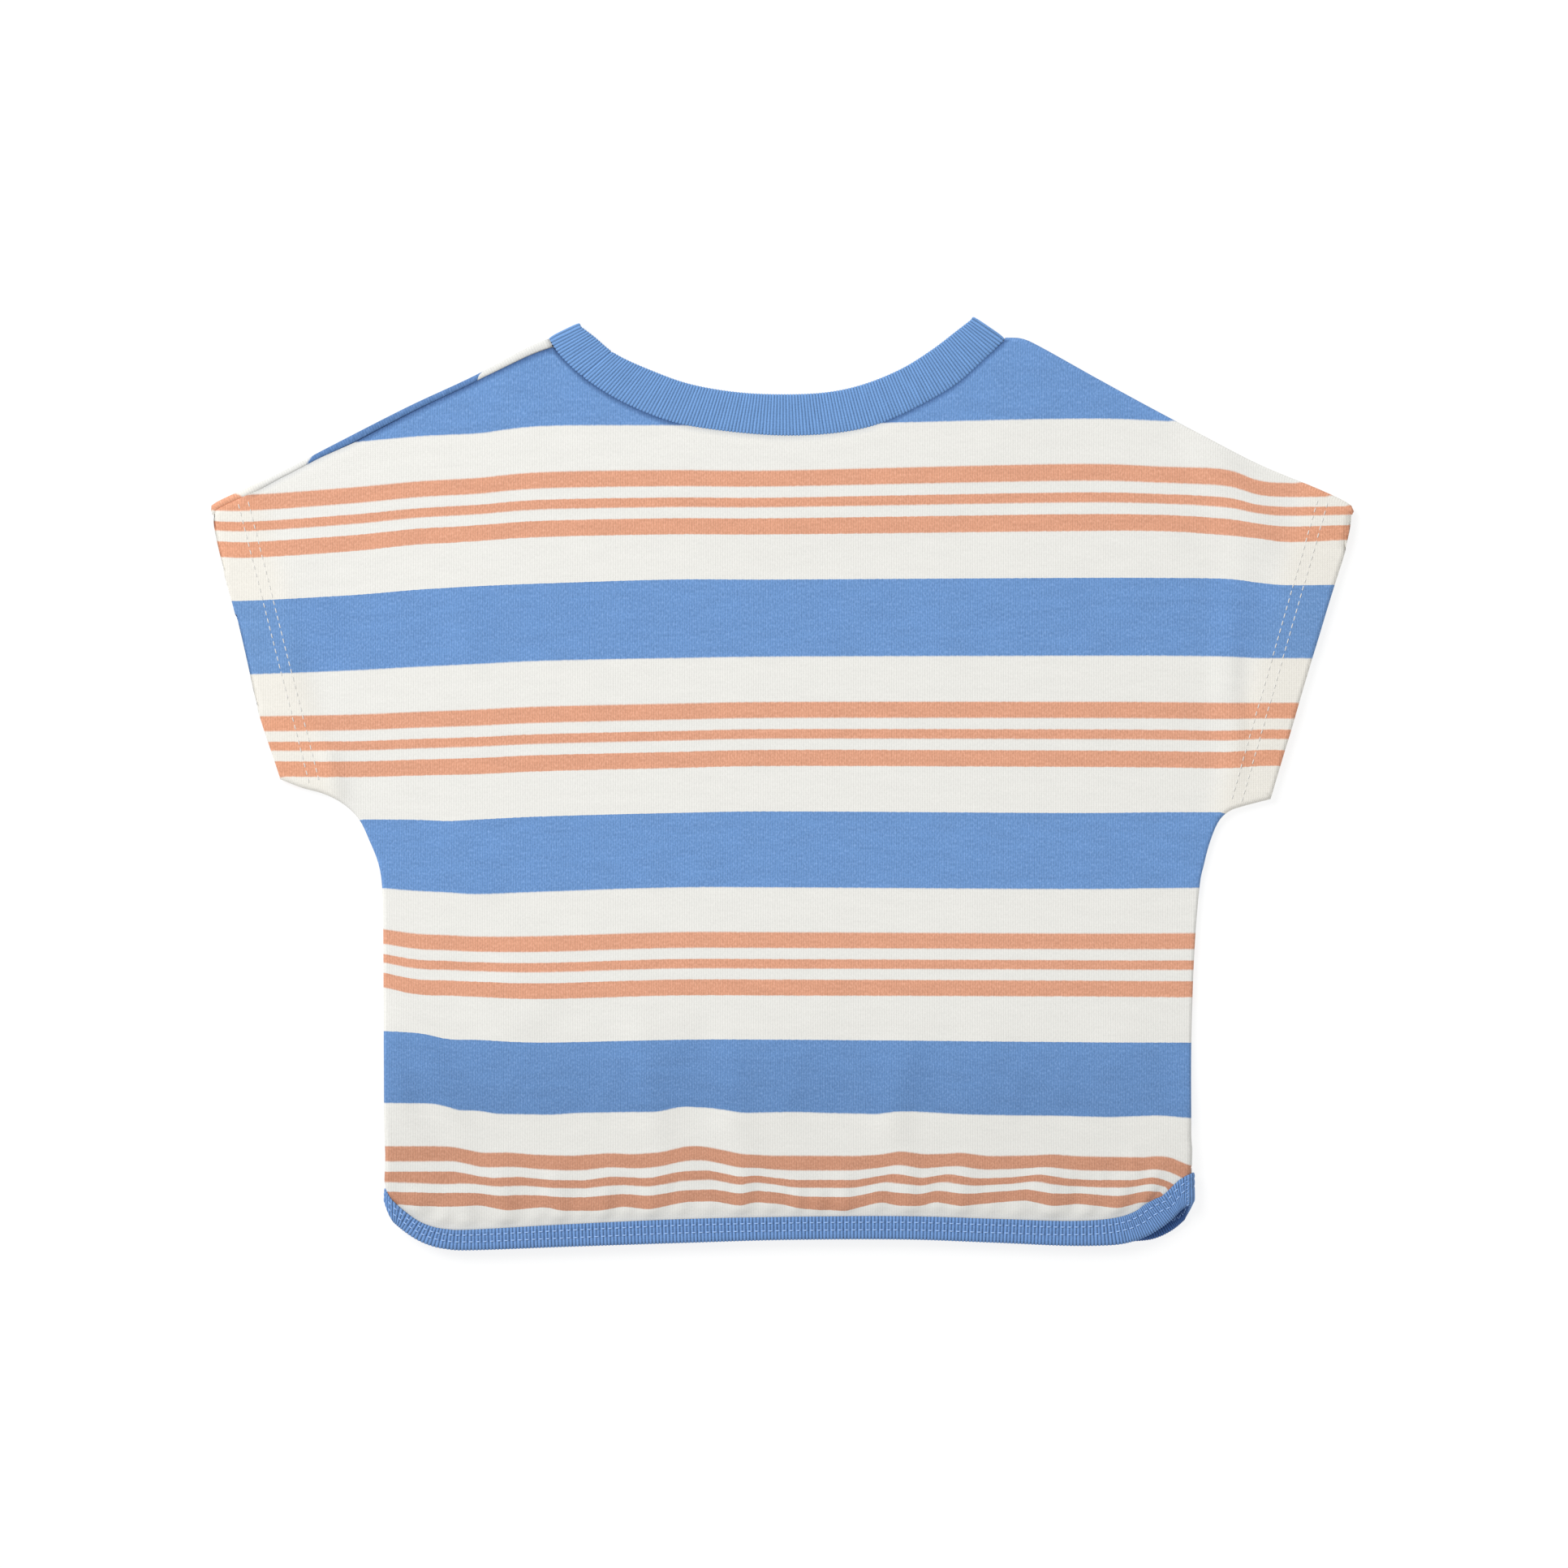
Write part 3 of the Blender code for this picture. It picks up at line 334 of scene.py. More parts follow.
# A gather stands on the binding at x, with half its width, height, reach and lean
GATHERS = {
    "back": (
        (-141.0, 3.2, 0.9, 16.0, 0.30), (-131.0, 2.6, 0.8, 12.0, 0.35), (-120.0, 3.4, 0.8, 20.0, -0.10),
        (-104.8, 4.0, 1.2, 34.0, -0.15), (-94.0, 2.4, 0.6, 10.0, 0.00), (-84.6, 3.6, 1.1, 30.0, -0.10),
        (-76.5, 2.2, 0.6, 11.0, 0.00), (-68.5, 3.0, 1.0, 22.0, 0.10), (-59.5, 2.4, 0.6, 12.0, 0.00),
        (-50.2, 3.8, 1.1, 30.0, 0.05), (-39.0, 2.6, 0.7, 14.0, 0.00), (-28.0, 2.6, 0.6, 12.0, 0.00),
        (-16.1, 4.0, 1.2, 34.0, 0.05), (-5.0, 2.6, 0.8, 14.0, 0.00), (5.3, 2.6, 0.9, 18.0, 0.05),
        (13.6, 2.6, 0.9, 16.0, 0.00), (24.5, 3.2, 1.0, 22.0, -0.10), (36.0, 2.8, 0.7, 14.0, 0.00),
        (49.0, 4.2, 1.2, 36.0, -0.12), (59.0, 2.4, 0.6, 12.0, 0.00), (68.2, 4.0, 1.1, 30.0, 0.05),
        (79.0, 2.6, 0.6, 12.0, 0.00), (90.0, 3.2, 0.7, 16.0, 0.10), (103.2, 4.4, 1.2, 30.0, -0.10),
        (115.0, 3.0, 0.8, 14.0, 0.30), (127.0, 3.8, 1.1, 22.0, 0.25), (139.0, 3.2, 0.9, 16.0, 0.20),
    ),
    "front": (
        (-128.0, 4.0, 0.6, 18.0, 0.20), (-103.0, 4.5, 0.9, 26.0, -0.10), (-79.0, 4.0, 0.7, 18.0, 0.00),
        (-57.0, 4.5, 0.9, 24.0, 0.10), (-30.0, 4.0, 0.6, 16.0, 0.00), (-8.0, 4.5, 0.9, 26.0, 0.05),
        (19.0, 4.0, 0.7, 20.0, -0.10), (43.0, 4.5, 0.9, 24.0, 0.00), (66.0, 4.0, 0.6, 16.0, 0.05),
        (92.0, 4.5, 0.9, 26.0, 0.00), (120.0, 4.0, 0.6, 18.0, 0.15),
    ),
}

# Small creases that the scene adds, each like a fold but narrower
CREASES = {
    "back": (
        (-150.0, -86.0, -145.0, -128.0, 5.0, 0.6), (-112.0, -90.0, -94.0, -128.0, 9.0, 0.4),
        (-45.0, -92.0, -37.0, -128.0, 9.0, 0.3), (-30.0, -96.0, -26.0, -130.0, 9.0, -0.4),
        (-10.0, -92.0, -1.0, -130.0, 10.0, 0.3), (20.0, -94.0, 27.0, -130.0, 10.0, -0.3),
        (56.0, -96.0, 60.0, -128.0, 8.0, -0.3), (80.0, -92.0, 77.0, -130.0, 10.0, 0.5),
        (118.0, -92.0, 125.0, -130.0, 9.0, 0.4), (-52.0, -22.0, -48.0, -40.0, 6.0, 0.35),
        (-130.0, -18.0, -112.0, -42.0, 7.0, 0.6), (156.0, 128.0, 176.0, 92.0, 4.0, 0.7),
        (176.0, 88.0, 178.5, 40.0, 4.5, 0.35), (-190.0, 80.0, -187.0, 40.0, 4.0, 0.5),
        (-126.0, 72.0, -118.0, 44.0, 5.0, 0.4), (63.0, 70.0, 66.0, 44.0, 7.0, 0.3),
        (-142.0, -157.0, -134.0, -163.0, 1.6, 0.35), (-128.0, -155.0, -119.0, -164.0, 1.8, 0.40),
        (-112.0, -160.0, -106.0, -166.0, 1.5, 0.35), (-88.0, -150.0, -91.0, -164.0, 1.8, 0.35),
        (-73.0, -152.0, -72.0, -165.0, 1.6, 0.30), (-44.0, -148.0, -45.0, -163.0, 1.8, 0.35),
        (-22.0, -150.0, -23.0, -163.0, 1.6, 0.30), (0.0, -152.0, -1.0, -163.0, 1.5, 0.30),
        (31.0, -150.0, 30.0, -162.0, 1.7, 0.30), (56.0, -148.0, 54.0, -162.0, 1.8, 0.35),
        (74.0, -152.0, 75.0, -163.0, 1.6, 0.30), (97.0, -150.0, 95.0, -163.0, 1.8, 0.35),
        (110.0, -148.0, 108.0, -163.0, 1.6, 0.35), (121.0, -146.0, 124.0, -161.0, 1.7, 0.35),
        (133.0, -140.0, 137.0, -156.0, 1.8, 0.40), (-178.0, 20.0, -171.0, 0.0, 2.2, 0.35),
        (174.5, 30.0, 175.0, 2.0, 2.0, 0.35), (166.0, 60.0, 166.5, 20.0, 2.6, 0.30),
        (-98.0, -104.0, -110.0, -126.0, 3.0, 0.25), (-62.0, -106.0, -72.0, -128.0, 3.2, 0.25),
        (8.0, -104.0, 0.0, -128.0, 3.0, 0.22), (62.0, -104.0, 71.0, -126.0, 3.0, 0.25),
        (92.0, -106.0, 86.0, -130.0, 3.2, 0.25), (112.0, -100.0, 104.0, -122.0, 3.0, 0.22),
    ),
    "front": (
        (-140.0, -110.0, -122.0, -136.0, 5.0, 0.35), (-60.0, -96.0, -52.0, -132.0, 5.0, 0.30),
        (40.0, -100.0, 47.0, -138.0, 5.0, 0.30), (126.0, -94.0, 138.0, -134.0, 5.0, 0.35),
        (-172.0, 24.0, -168.0, 2.0, 3.5, 0.30), (171.0, 50.0, 170.0, 4.0, 3.5, 0.30),
    ),
}
FOLD_STARTS = (-0.25, 0.30)
FOLD_ENDS = (0.70, 1.25)


def ridge_heights(ridges, x, y):
    """Sum of ridges: height * bell(distance from the line / half width), faded at both ends."""
    total = np.zeros_like(x)
    for x0, y0, x1, y1, half_width, height in ridges:
        size = math.hypot(x1 - x0, y1 - y0)
        way = ((x1 - x0) / size, (y1 - y0) / size)
        run = ((x - x0) * way[0] + (y - y0) * way[1]) / size
        off = ((y - y0) * way[0] - (x - x0) * way[1]) / half_width
        ends = smoothstep(*FOLD_STARTS, run) * (1.0 - smoothstep(*FOLD_ENDS, run))
        total += height * ends * np.exp(-off ** 2)
    return total


print(len(GATHERS["back"]), "gathers on the back and", len(GATHERS["front"]), "on the front")

# %% [markdown]
# ## How high the cloth lies
#
# The front lies on the table and the back lies on the front, with a little air between
# them. Both climb towards the hem, where the thick binding carries them, and the back
# climbs again over the front half of the neckband, which lies hidden beneath it. The
# sleeve ends are turned in and sewn, so the cloth is double there.
#
# The height of a piece is therefore a sum: its own level, its folds, and its gathers.

# %% Levels of the cloth
SLEEVE_FROM = (-18.0, -11.0)
GATHER_START = 3.0
GATHER_FULL = 0.25
GATHER_SPREAD = 0.5


def cuff_line(side):
    """Underarm corner and sleeve tip of a cuff; side is -1 on the left, 1 on the right."""
    if side < 0:
        return np.array(LEFT_SIDE[-1]), np.array(LEFT_SHOULDER[0])
    return np.array(RIGHT_SIDE[-1]), np.array(RIGHT_SHOULDER[-1])


def cuff_ways(side):
    """Unit vectors along a cuff towards the shoulder, and from its edge into the sleeve."""
    corner, tip = cuff_line(side)
    way = unit(tip - corner)
    return way, -side * np.array([way[1], -way[0]])


def from_cuff(side, x, y):
    """Distance from a cuff's edge into the sleeve, and along the cuff from the underarm."""
    corner, _ = cuff_line(side)
    way, inwards = cuff_ways(side)
    depth = (x - corner[0]) * inwards[0] + (y - corner[1]) * inwards[1]
    run = (x - corner[0]) * way[0] + (y - corner[1]) * way[1]
    return depth, run


def doubled(x, y):
    """1 where the sleeve end is turned in and the cloth is double, 0 elsewhere."""
    share = 0.0
    for side in (-1, 1):
        depth, run = from_cuff(side, x, y)
        on_sleeve = smoothstep(*SLEEVE_FROM, run)
        share = share + on_sleeve * (1.0 - smoothstep(*CUFF_STEP, depth))
    return share


def wall(x, y):
    """Thickness of the cloth at a place."""
    return WALL + (CUFF_WALL - WALL) * doubled(x, y)


def hem_at(layer, x):
    """Outer edge, upper edge and 1 / cos(slope) of the binding at x."""
    line = smooth_line(HEM[layer])
    edge = np.interp(x, line[:, 0], line[:, 1])
    top = np.interp(x, line[:, 0], line[:, 2])
    slope = np.gradient(line[:, 1]) / np.gradient(line[:, 0])
    steepness = np.sqrt(1.0 + np.interp(x, line[:, 0], slope) ** 2)
    return edge, top, steepness


def cloth_hem(layer, x):
    """The cloth's own raw edge inside the binding, at x."""
    edge, _, steepness = hem_at(layer, x)
    return edge + HEM_EDGE_INSET * steepness


def free_edge(layer, x):
    """Where the cloth comes out of the binding, at x."""
    return hem_at(layer, x)[1] + ABOVE_BINDING


def level(layer, x, y):
    """Height of the middle of the cloth before folds, at a place."""
    thick = wall(x, y)
    above = y - np.maximum(hem_at("front", x)[1], hem_at("back", x)[1])
    at_hem = 1.0 - smoothstep(HEM_RISE_END, HEM_RISE_START, above)
    if layer == "front":
        return thick / 2 + (HEM_LEVEL["front"] - WALL / 2) * at_hem
    across = (x - NECK_CENTRE[0]) / NECK_RADII[0]
    down = (y - NECK_CENTRE[1]) / NECK_RADII[1]
    at_neck = 1.0 - smoothstep(1.0, NECK_FADE, np.hypot(across, down))
    # The back's middle is a whole wall of the front, the air and half its own wall up
    base = 1.5 * thick + HOLLOW * (1.0 - CUFF_CLOSE * doubled(x, y))
    return base + (HEM_LEVEL["back"] - 1.5 * WALL - HOLLOW) * at_hem + NECK_LIFT * at_neck


def gather_field(layer, x, y):
    """Sum of the gathers, height * bell(distance from its leaning line), faded up the cloth."""
    above = y - free_edge(layer, x)
    total = np.zeros_like(x)
    for x0, half_width, height, reach, lean in GATHERS[layer]:
        width = half_width * (1.0 + GATHER_SPREAD * np.maximum(above, 0.0) / reach)
        off = (x - x0 - lean * above) / width
        fade = smoothstep(0.0, GATHER_START, above) * (1.0 - smoothstep(GATHER_FULL * reach, reach, above))
        total += height * fade * np.exp(-off ** 2)
    return total


def puff(layer, x, y):
    """A low swelling along the hem: a bell of the height above the binding."""
    return HEM_PUFF[layer] * np.exp(-((y - free_edge(layer, x) - PUFF_PLACE) / PUFF_WIDTH) ** 2)


def cuff_droop(layer, x, y):
    """How far the back's sleeve ends sink onto the front's, over the last few millimetres."""
    drop = 0.0
    for side in (-1, 1):
        depth, run = from_cuff(side, x, y)
        drop = drop + smoothstep(*SLEEVE_FROM, run) * (1.0 - smoothstep(0.0, CUFF_DROOP_REACH, depth))
    return CUFF_DROOP[layer] * drop


def surface(layer, x, y):
    """Height of the middle of the cloth with its folds, gathers and creases."""
    z = level(layer, x, y) + gather_field(layer, x, y)
    z = z + puff(layer, x, y) - cuff_droop(layer, x, y)
    return z + ridge_heights(FOLDS[layer] + CREASES[layer], x, y)


def fold_radius(x, y):
    """Radius to the middle of the cloth where front and back fold into each other."""
    return (level("back", x, y) - level("front", x, y)) / 2


middle = (np.array([0.0]), np.array([0.0]))
print(f"in the middle the front lies at {level('front', *middle)[0]:.1f} mm",
      f"and the back at {level('back', *middle)[0]:.1f} mm")

# %% [markdown]
# ## Where the stripes run
#
# The stripes are knitted in, so they belong to the cloth and not to the table: where the
# cloth is pulled or eased, they bend with it. A flat picture could show that only from
# one side. Here each point of the cloth carries the place that it had in the flat cut,
# as its UV coordinate, and the stripes are drawn on that.
#
# Three things bend them. Down the middle, the rows lie closer together towards the
# gathered hem. To both sides they sag by a few millimetres, which one table gives. And at
# the hem they ride up and down over the gathers, which a second table gives for the edge
# of the last blue stripe and for the three orange stripes below it.

# %% The stripes' own coordinate
REPEAT = 88.7

# Down the middle of the back: y, distance down the cloth from the first full blue stripe
ROWS_DOWN_THE_MIDDLE = ((190.0, -112.5), (136.9, -59.3), (95.3, -17.2), (78.0, 0.0), (48.5, 29.4),
                        (6.7, 71.5), (-10.7, 88.7), (-39.8, 118.1), (-80.8, 160.2), (-97.5, 177.4),
                        (-125.7, 206.8), (-145.2, 227.3), (-152.7, 236.6), (-158.3, 245.8),
                        (-166.0, 257.0), (-180.0, 272.0))

# How far below a straight row the stripes lie: at each y, for each of these x
SAG_STATIONS = (-220.0, -203.0, -165.0, -141.0, -128.0, -116.0, -91.0, -42.0, 0.0, 107.0, 145.0,
                169.0, 182.0, 194.0, 220.0)
SAGS = (
    (170.0, (9.6, 9.3, 6.5, 4.3, 0.0, -5.0, -5.0, -5.0, -5.0, -6.0, -4.0, -0.3, 4.0, 4.9, 6.0)),
    (140.0, (9.6, 9.3, 6.5, 4.3, 3.6, 3.0, 0.2, 0.0, 0.0, -2.5, -1.8, -0.3, 4.0, 4.9, 6.0)),
    (120.0, (9.4, 9.3, 6.5, 4.3, 3.5, 2.8, 0.6, -0.1, 0.0, -2.5, -1.5, -0.3, 3.9, 4.9, 5.0)),
    (108.0, (8.9, 9.2, 6.5, 4.2, 3.4, 2.7, 0.8, 0.0, 0.0, -1.9, -1.4, 0.0, 2.7, 3.4, 3.1)),
    (95.0, (8.2, 9.0, 6.5, 4.0, 3.3, 2.5, 1.0, 0.0, 0.0, -1.2, -1.2, 0.3, 1.6, 3.0, 1.9)),
    (78.0, (8.0, 8.1, 6.0, 4.0, 3.2, 2.5, 1.5, 0.0, 0.0, -0.6, -0.6, -0.3, 1.2, 2.2, 1.9)),
    (48.0, (7.0, 6.8, 5.3, 4.0, 3.4, 2.8, 1.6, 0.6, 0.0, -0.3, -0.3, 0.0, 0.6, 0.6, 0.6)),
    (7.0, (3.8, 3.9, 4.3, 3.7, 3.4, 3.1, 2.0, 0.8, 0.0, 0.3, 0.6, 0.9, 0.0, 0.0, 0.0)),
    (-11.0, (3.0, 3.0, 3.1, 3.2, 3.7, 3.1, 1.9, 0.6, 0.0, 0.6, 0.3, 0.3, 0.3, 0.3, 0.3)),
    (-40.0, (-0.4, -0.4, -0.4, 1.2, 1.9, 2.5, 1.6, 0.0, 0.0, 0.6, 0.3, 0.0, 0.0, 0.0, 0.0)),
    (-81.0, (-5.0, -5.0, -5.0, -0.3, 0.3, 0.8, 1.6, 0.3, 0.3, 0.6, 0.9, 0.9, 0.9, 0.9, 0.9)),
    (-97.0, (-3.0, -3.0, -3.0, -2.2, 0.3, 0.6, 1.6, 0.6, 0.5, 1.4, 1.6, 1.6, 1.6, 1.6, 1.6)),
)

# The last blue stripe's lower edge and the three orange stripes at the hem ride over the
# gathers: y of each in the middle, then its crests and dips as x and how far below it lies
HEM_WAVES = (
    (-125.7, ((-152.0, -3.6), (-133.0, -3.3), (-128.0, -2.2), (-124.0, -0.7), (-116.0, -0.5),
              (-109.0, 0.7), (-88.0, 1.0), (-78.0, 0.3), (-47.0, -0.2), (-42.0, -1.5), (-38.0, -2.1),
              (-27.0, -1.5), (-21.0, -0.7), (-15.0, 0.3), (5.0, -0.1), (15.0, 0.3), (36.0, 0.8),
              (44.0, -0.3), (51.0, -0.2), (67.0, 0.8), (86.0, 1.2), (108.0, 1.5), (125.0, 1.9),
              (136.0, 1.5), (144.0, 1.2), (156.0, 2.2))),
    (-145.2, ((-150.0, -3.7), (-125.0, -3.7), (-115.0, -1.2), (-105.0, -1.6), (-95.0, -0.6),
              (-80.0, 0.0), (-66.0, -1.2), (-57.0, -0.6), (-46.0, -1.6), (-36.0, -4.0), (-31.0, -4.0),
              (-25.0, -2.9), (-16.0, -0.9), (-4.0, 0.0), (28.0, 0.0), (37.0, -0.6), (45.0, -2.1),
              (54.0, -0.6), (63.0, -1.0), (68.0, -1.6), (78.0, 0.0), (95.0, -0.3), (103.0, -0.9),
              (113.0, 0.0), (138.0, 0.4), (143.0, -0.2), (148.0, 0.2), (152.0, 2.2), (157.0, 4.6))),
    (-152.7, ((-150.0, -2.8), (-125.0, -2.8), (-115.0, -0.9), (-110.0, -0.3), (-100.0, -0.9),
              (-90.0, 0.3), (-75.0, 0.6), (-66.0, -0.9), (-60.0, -0.9), (-51.0, -0.3), (-40.0, -2.8),
              (-28.0, -3.4), (-16.0, -0.9), (-11.0, -1.9), (-6.0, -1.2), (4.0, 0.3), (28.0, 0.3),
              (38.0, -1.6), (43.0, -2.4), (53.0, -0.3), (63.0, -2.4), (73.0, -0.3), (88.0, -0.9),
              (98.0, -2.4), (108.0, -0.3), (118.0, 0.3), (133.0, 0.3), (142.0, -1.2), (148.0, 1.2),
              (153.0, 4.5), (157.0, 6.5))),
    (-158.3, ((-150.0, 0.0), (-145.0, 0.3), (-130.0, 1.2), (-115.0, 0.6), (-105.0, 2.5), (-90.0, 1.2),
              (-84.0, 2.6), (-70.0, 2.6), (-61.0, 1.0), (-51.0, 2.1), (-37.0, -0.7), (-26.0, -1.0),
              (-16.0, 0.8), (-11.0, -0.7), (-1.0, 0.0), (8.0, 1.9), (24.0, 2.6), (38.0, -0.8),
              (43.0, 0.6), (53.0, 0.8), (58.0, -0.8), (68.0, 0.8), (83.0, -0.6), (93.0, -1.4),
              (103.0, 0.8), (113.0, 0.0), (128.0, 1.6), (138.0, -0.9), (146.0, -0.6), (157.0, 4.0))),
)
WAVE_REACH = 1.8
WAVE_SAMPLES = 5
FRONT_DROP = 3.4


def wave(x, table):
    """A table of crests and dips read at x, evened out over a short reach on both sides."""
    places, values = np.array(table).T
    shifts = WAVE_REACH * np.linspace(-1.0, 1.0, WAVE_SAMPLES)
    return sum(np.interp(x + shift, places, values) for shift in shifts) / len(shifts)


def stripe_sag(x, y):
    """How far below a straight row a stripe lies: smooth along x, even between the rows' y."""
    heights = np.array([row[0] for row in SAGS + HEM_WAVES])
    curves = [smooth_line(list(zip(SAG_STATIONS, row[1]))) for row in SAGS]
    values = np.stack([np.interp(x, curve[:, 0], curve[:, 1]) for curve in curves]
                      + [wave(x, row[1]) for row in HEM_WAVES])
    place = np.interp(-y, -heights, np.arange(len(heights)))
    lower = np.clip(place.astype(int), 0, len(heights) - 2)
    share = place - lower
    pick = np.indices(x.shape)
    return values[(lower, *pick)] * (1.0 - share) + values[(lower + 1, *pick)] * share


def down_the_cloth(layer, x, y):
    """Distance down the cloth: the middle's, read where the sag would lift this place to."""
    lift = stripe_sag(x, y)
    lift = stripe_sag(x, y + lift)
    if layer == "front":
        lift = lift + FRONT_DROP
    rows = np.array(ROWS_DOWN_THE_MIDDLE)
    return np.interp(-(y + lift), -rows[:, 0], rows[:, 1])


print(f"the neck is {down_the_cloth('back', np.array([0.0]), np.array([133.0]))[0]:.0f} mm",
      f"and the hem {down_the_cloth('back', np.array([0.0]), np.array([-165.0]))[0]:.0f} mm down the cloth")

# %% [markdown]
# ## The front and the back
#
# Each panel is a sheet stretched between four lines: the binding, the two sides and the
# shoulders with the neck. A kind of Coons patch fills them: it blends the hem into the
# shoulders, and adds the bend of each side, fading across the cloth. It fades as a square,
# for where it fades evenly the rows fold over each other below the front neckline. Rows
# and columns follow the cloth's own edges, so no triangle has to be cut at them.
#
# At the sides and shoulders the cloth rolls round through a quarter turn and meets the
# other panel there, as it does at a seam on a fold. At the left shoulder the front rolls
# right over and lies on the back.

# %% Edges of a panel
PANEL_GRID = {
    "back": {"shoulder": 68, "neck": 84, "hem": 46, "side": 46, "underarm": 26, "cuff": 48},
    "front": {"shoulder": 80, "neck": 60, "hem": 24, "side": 34, "underarm": 20, "cuff": 34},
}
HEM_ZONE = 42.0
TIP_ZONE = (-207.5, -200.0)
ROLL_STEPS = 7
ROLL_SHARES = np.linspace(0.0, 1.0, ROLL_STEPS + 1)[1:]
HALF_STEPS = 14
FLAP_STEPS = 3
FLAP_DIP = 0.35
END_REACH = 8.0
BULGE_AT_BINDING = 0.6
BULGE_GROWS = (0.1, 1.2)
BULGE_FADES = (4.0, 15.0)
HEM_PULL_REACH = 14.0


def turned_ends(line, normals, start_way, end_way, reach=END_REACH):
    """Normals eased into given directions over the last few millimetres of a line."""
    run = run_lengths(line)
    ease = np.clip(1.0 - run / reach, 0.0, 1.0)[:, None]
    ways = unit(normals * (1.0 - ease) + np.array(start_way) * ease)
    ease = np.clip(1.0 - (run[-1] - run) / reach, 0.0, 1.0)[:, None]
    return unit(ways * (1.0 - ease) + np.array(end_way) * ease)


def neck_fold_way(row, side):
    """Unit vector across a shoulder fold of the neckband, out of the shirt."""
    way = unit(np.array([row[2] - row[0], row[3] - row[1]]))
    return side * np.array([way[1], -way[0]])


def shoulder_line(layer, side, count):
    """Where a shoulder starts to roll, its directions out of the shirt, and its flap.

    The start lies inside the outline by the fold's radius and half the wall. At the left
    seam the back stops short of the flap that the front lays over it."""
    outline = smooth_line(LEFT_SHOULDER if side < 0 else RIGHT_SHOULDER)
    line = along(outline, np.linspace(0.0, 1.0, count + 1))
    tip_way = cuff_ways(side)[0]
    neck_way = neck_fold_way(NECK_ROWS["back"][0 if side < 0 else -1], side)
    ends = (tip_way, neck_way) if side < 0 else (neck_way, tip_way)
    ways = turned_ends(line, left_of(line), *ends)
    inset = fold_radius(line[:, 0], line[:, 1]) + wall(line[:, 0], line[:, 1]) / 2
    flap = np.zeros(count + 1)
    if side < 0:
        strip_at, strip_width = np.array(SHOULDER_STRIP).T
        strip = np.interp(np.linspace(0.0, 1.0, count + 1), strip_at, strip_width)
        flap = np.maximum(strip - inset, SHOULDER_GAP)
        if layer == "back":
            inset = inset + flap + SHOULDER_GAP
    return line - ways * inset[:, None], ways, flap


def side_line(layer, side, rows):
    """Where a side starts to roll, from the hem to the cuff, and its directions outwards."""
    table = LEFT_SIDE if side < 0 else RIGHT_SIDE
    outline = smooth_line(table)
    turn = np.argmin(np.linalg.norm(outline - np.array(table[UNDERARM_START]), axis=1))
    side_part, underarm_part = outline[:turn + 1], outline[turn:]
    first = HEM_ZONE / run_lengths(side_part)[-1]
    where = np.concatenate([np.linspace(0.0, first, rows["hem"] + 1),
                            np.linspace(first, 1.0, rows["side"] + 1)[1:]])
    line = np.vstack([along(side_part, where),
                      along(underarm_part, np.linspace(0.0, 1.0, rows["underarm"] + 1))[1:]])
    above = line[:, 1] - free_edge(layer, line[0, 0])
    bulge = BULGE_AT_BINDING + (1.0 - BULGE_AT_BINDING) * smoothstep(*BULGE_GROWS, above)
    line[:, 0] += side * HEM_BULGE * bulge * (1.0 - smoothstep(*BULGE_FADES, above))
    ways = turned_ends(line, -side * left_of(line), (side, 0.0), -cuff_ways(side)[0])
    inset = fold_radius(line[:, 0], line[:, 1]) + wall(line[:, 0], line[:, 1]) / 2
    start = line - ways * inset[:, None]
    climb = start[:, 1] - start[0, 1]
    pull = free_edge(layer, start[0, 0]) - start[0, 1]
    start[:, 1] += pull * (1.0 - smoothstep(0.0, HEM_PULL_REACH, climb))
    return start, ways


def neck_line(layer, start, end, count):
    """The neck edge of a panel, from the end of one shoulder to the start of the other."""
    rows = np.array(NECK_ROWS[layer])
    seam, opening = rows[:, 0:2], rows[:, 2:4]
    seam = seam - unit(seam - opening) * NECK_TUCK
    line = smooth_line(np.vstack([start, seam[1:-1], end]))
    return along(line, np.linspace(0.0, 1.0, count + 1))


start, _ = side_line("back", -1, PANEL_GRID["back"])
print("the left side starts to roll at", len(start), "places, the first at", start[0].round(1))

# %% [markdown]
# A roll is a piece of a circle. The cloth leaves its start in the outward direction, and
# at each angle it has gone sideways by radius * sin(angle) and up by
# radius * (1 - cos(angle)). The cloth that this uses up is radius * angle, and the
# stripes are moved on by as much.

# %% Rolls

def quarter_roll(start, ways, height, half_height):
    """Rows that carry a sheet a quarter turn round a fold, upright just short of its middle.

    Gives a list of points and a list of the cloth used up to each."""
    reach = fold_radius(start[:, 0], start[:, 1])
    rise = half_height - np.sign(half_height) * SEAM_GAP / 2
    rows, used = [], []
    for share in ROLL_SHARES:
        angle = share * math.pi / 2
        place = start + ways * (reach * math.sin(angle))[:, None]
        rows.append(np.column_stack([place, height + rise * (1.0 - math.cos(angle))]))
        used.append(reach * angle)
    return rows, used


def half_roll(start, ways, height, half_height, flap):
    """Rows that turn a sheet right over a fold, with a flap past it, and the cloth used."""
    rows, used = [], []
    for step in range(1, HALF_STEPS + 1):
        angle = math.pi * step / HALF_STEPS
        place = start + ways * (half_height * math.sin(angle))[:, None]
        rows.append(np.column_stack([place, height + half_height * (1.0 - math.cos(angle))]))
        used.append(half_height * angle)
    for step in range(1, FLAP_STEPS + 1):
        share = step / FLAP_STEPS
        dip = FLAP_DIP * share ** 3
        rows.append(np.column_stack([start - ways * (flap * share)[:, None],
                                     height + 2 * half_height - dip]))
        used.append(half_height * math.pi + flap * share)
    return rows, used


print("a roll of radius 1 mm uses up", round(math.pi / 2, 2), "mm of cloth")

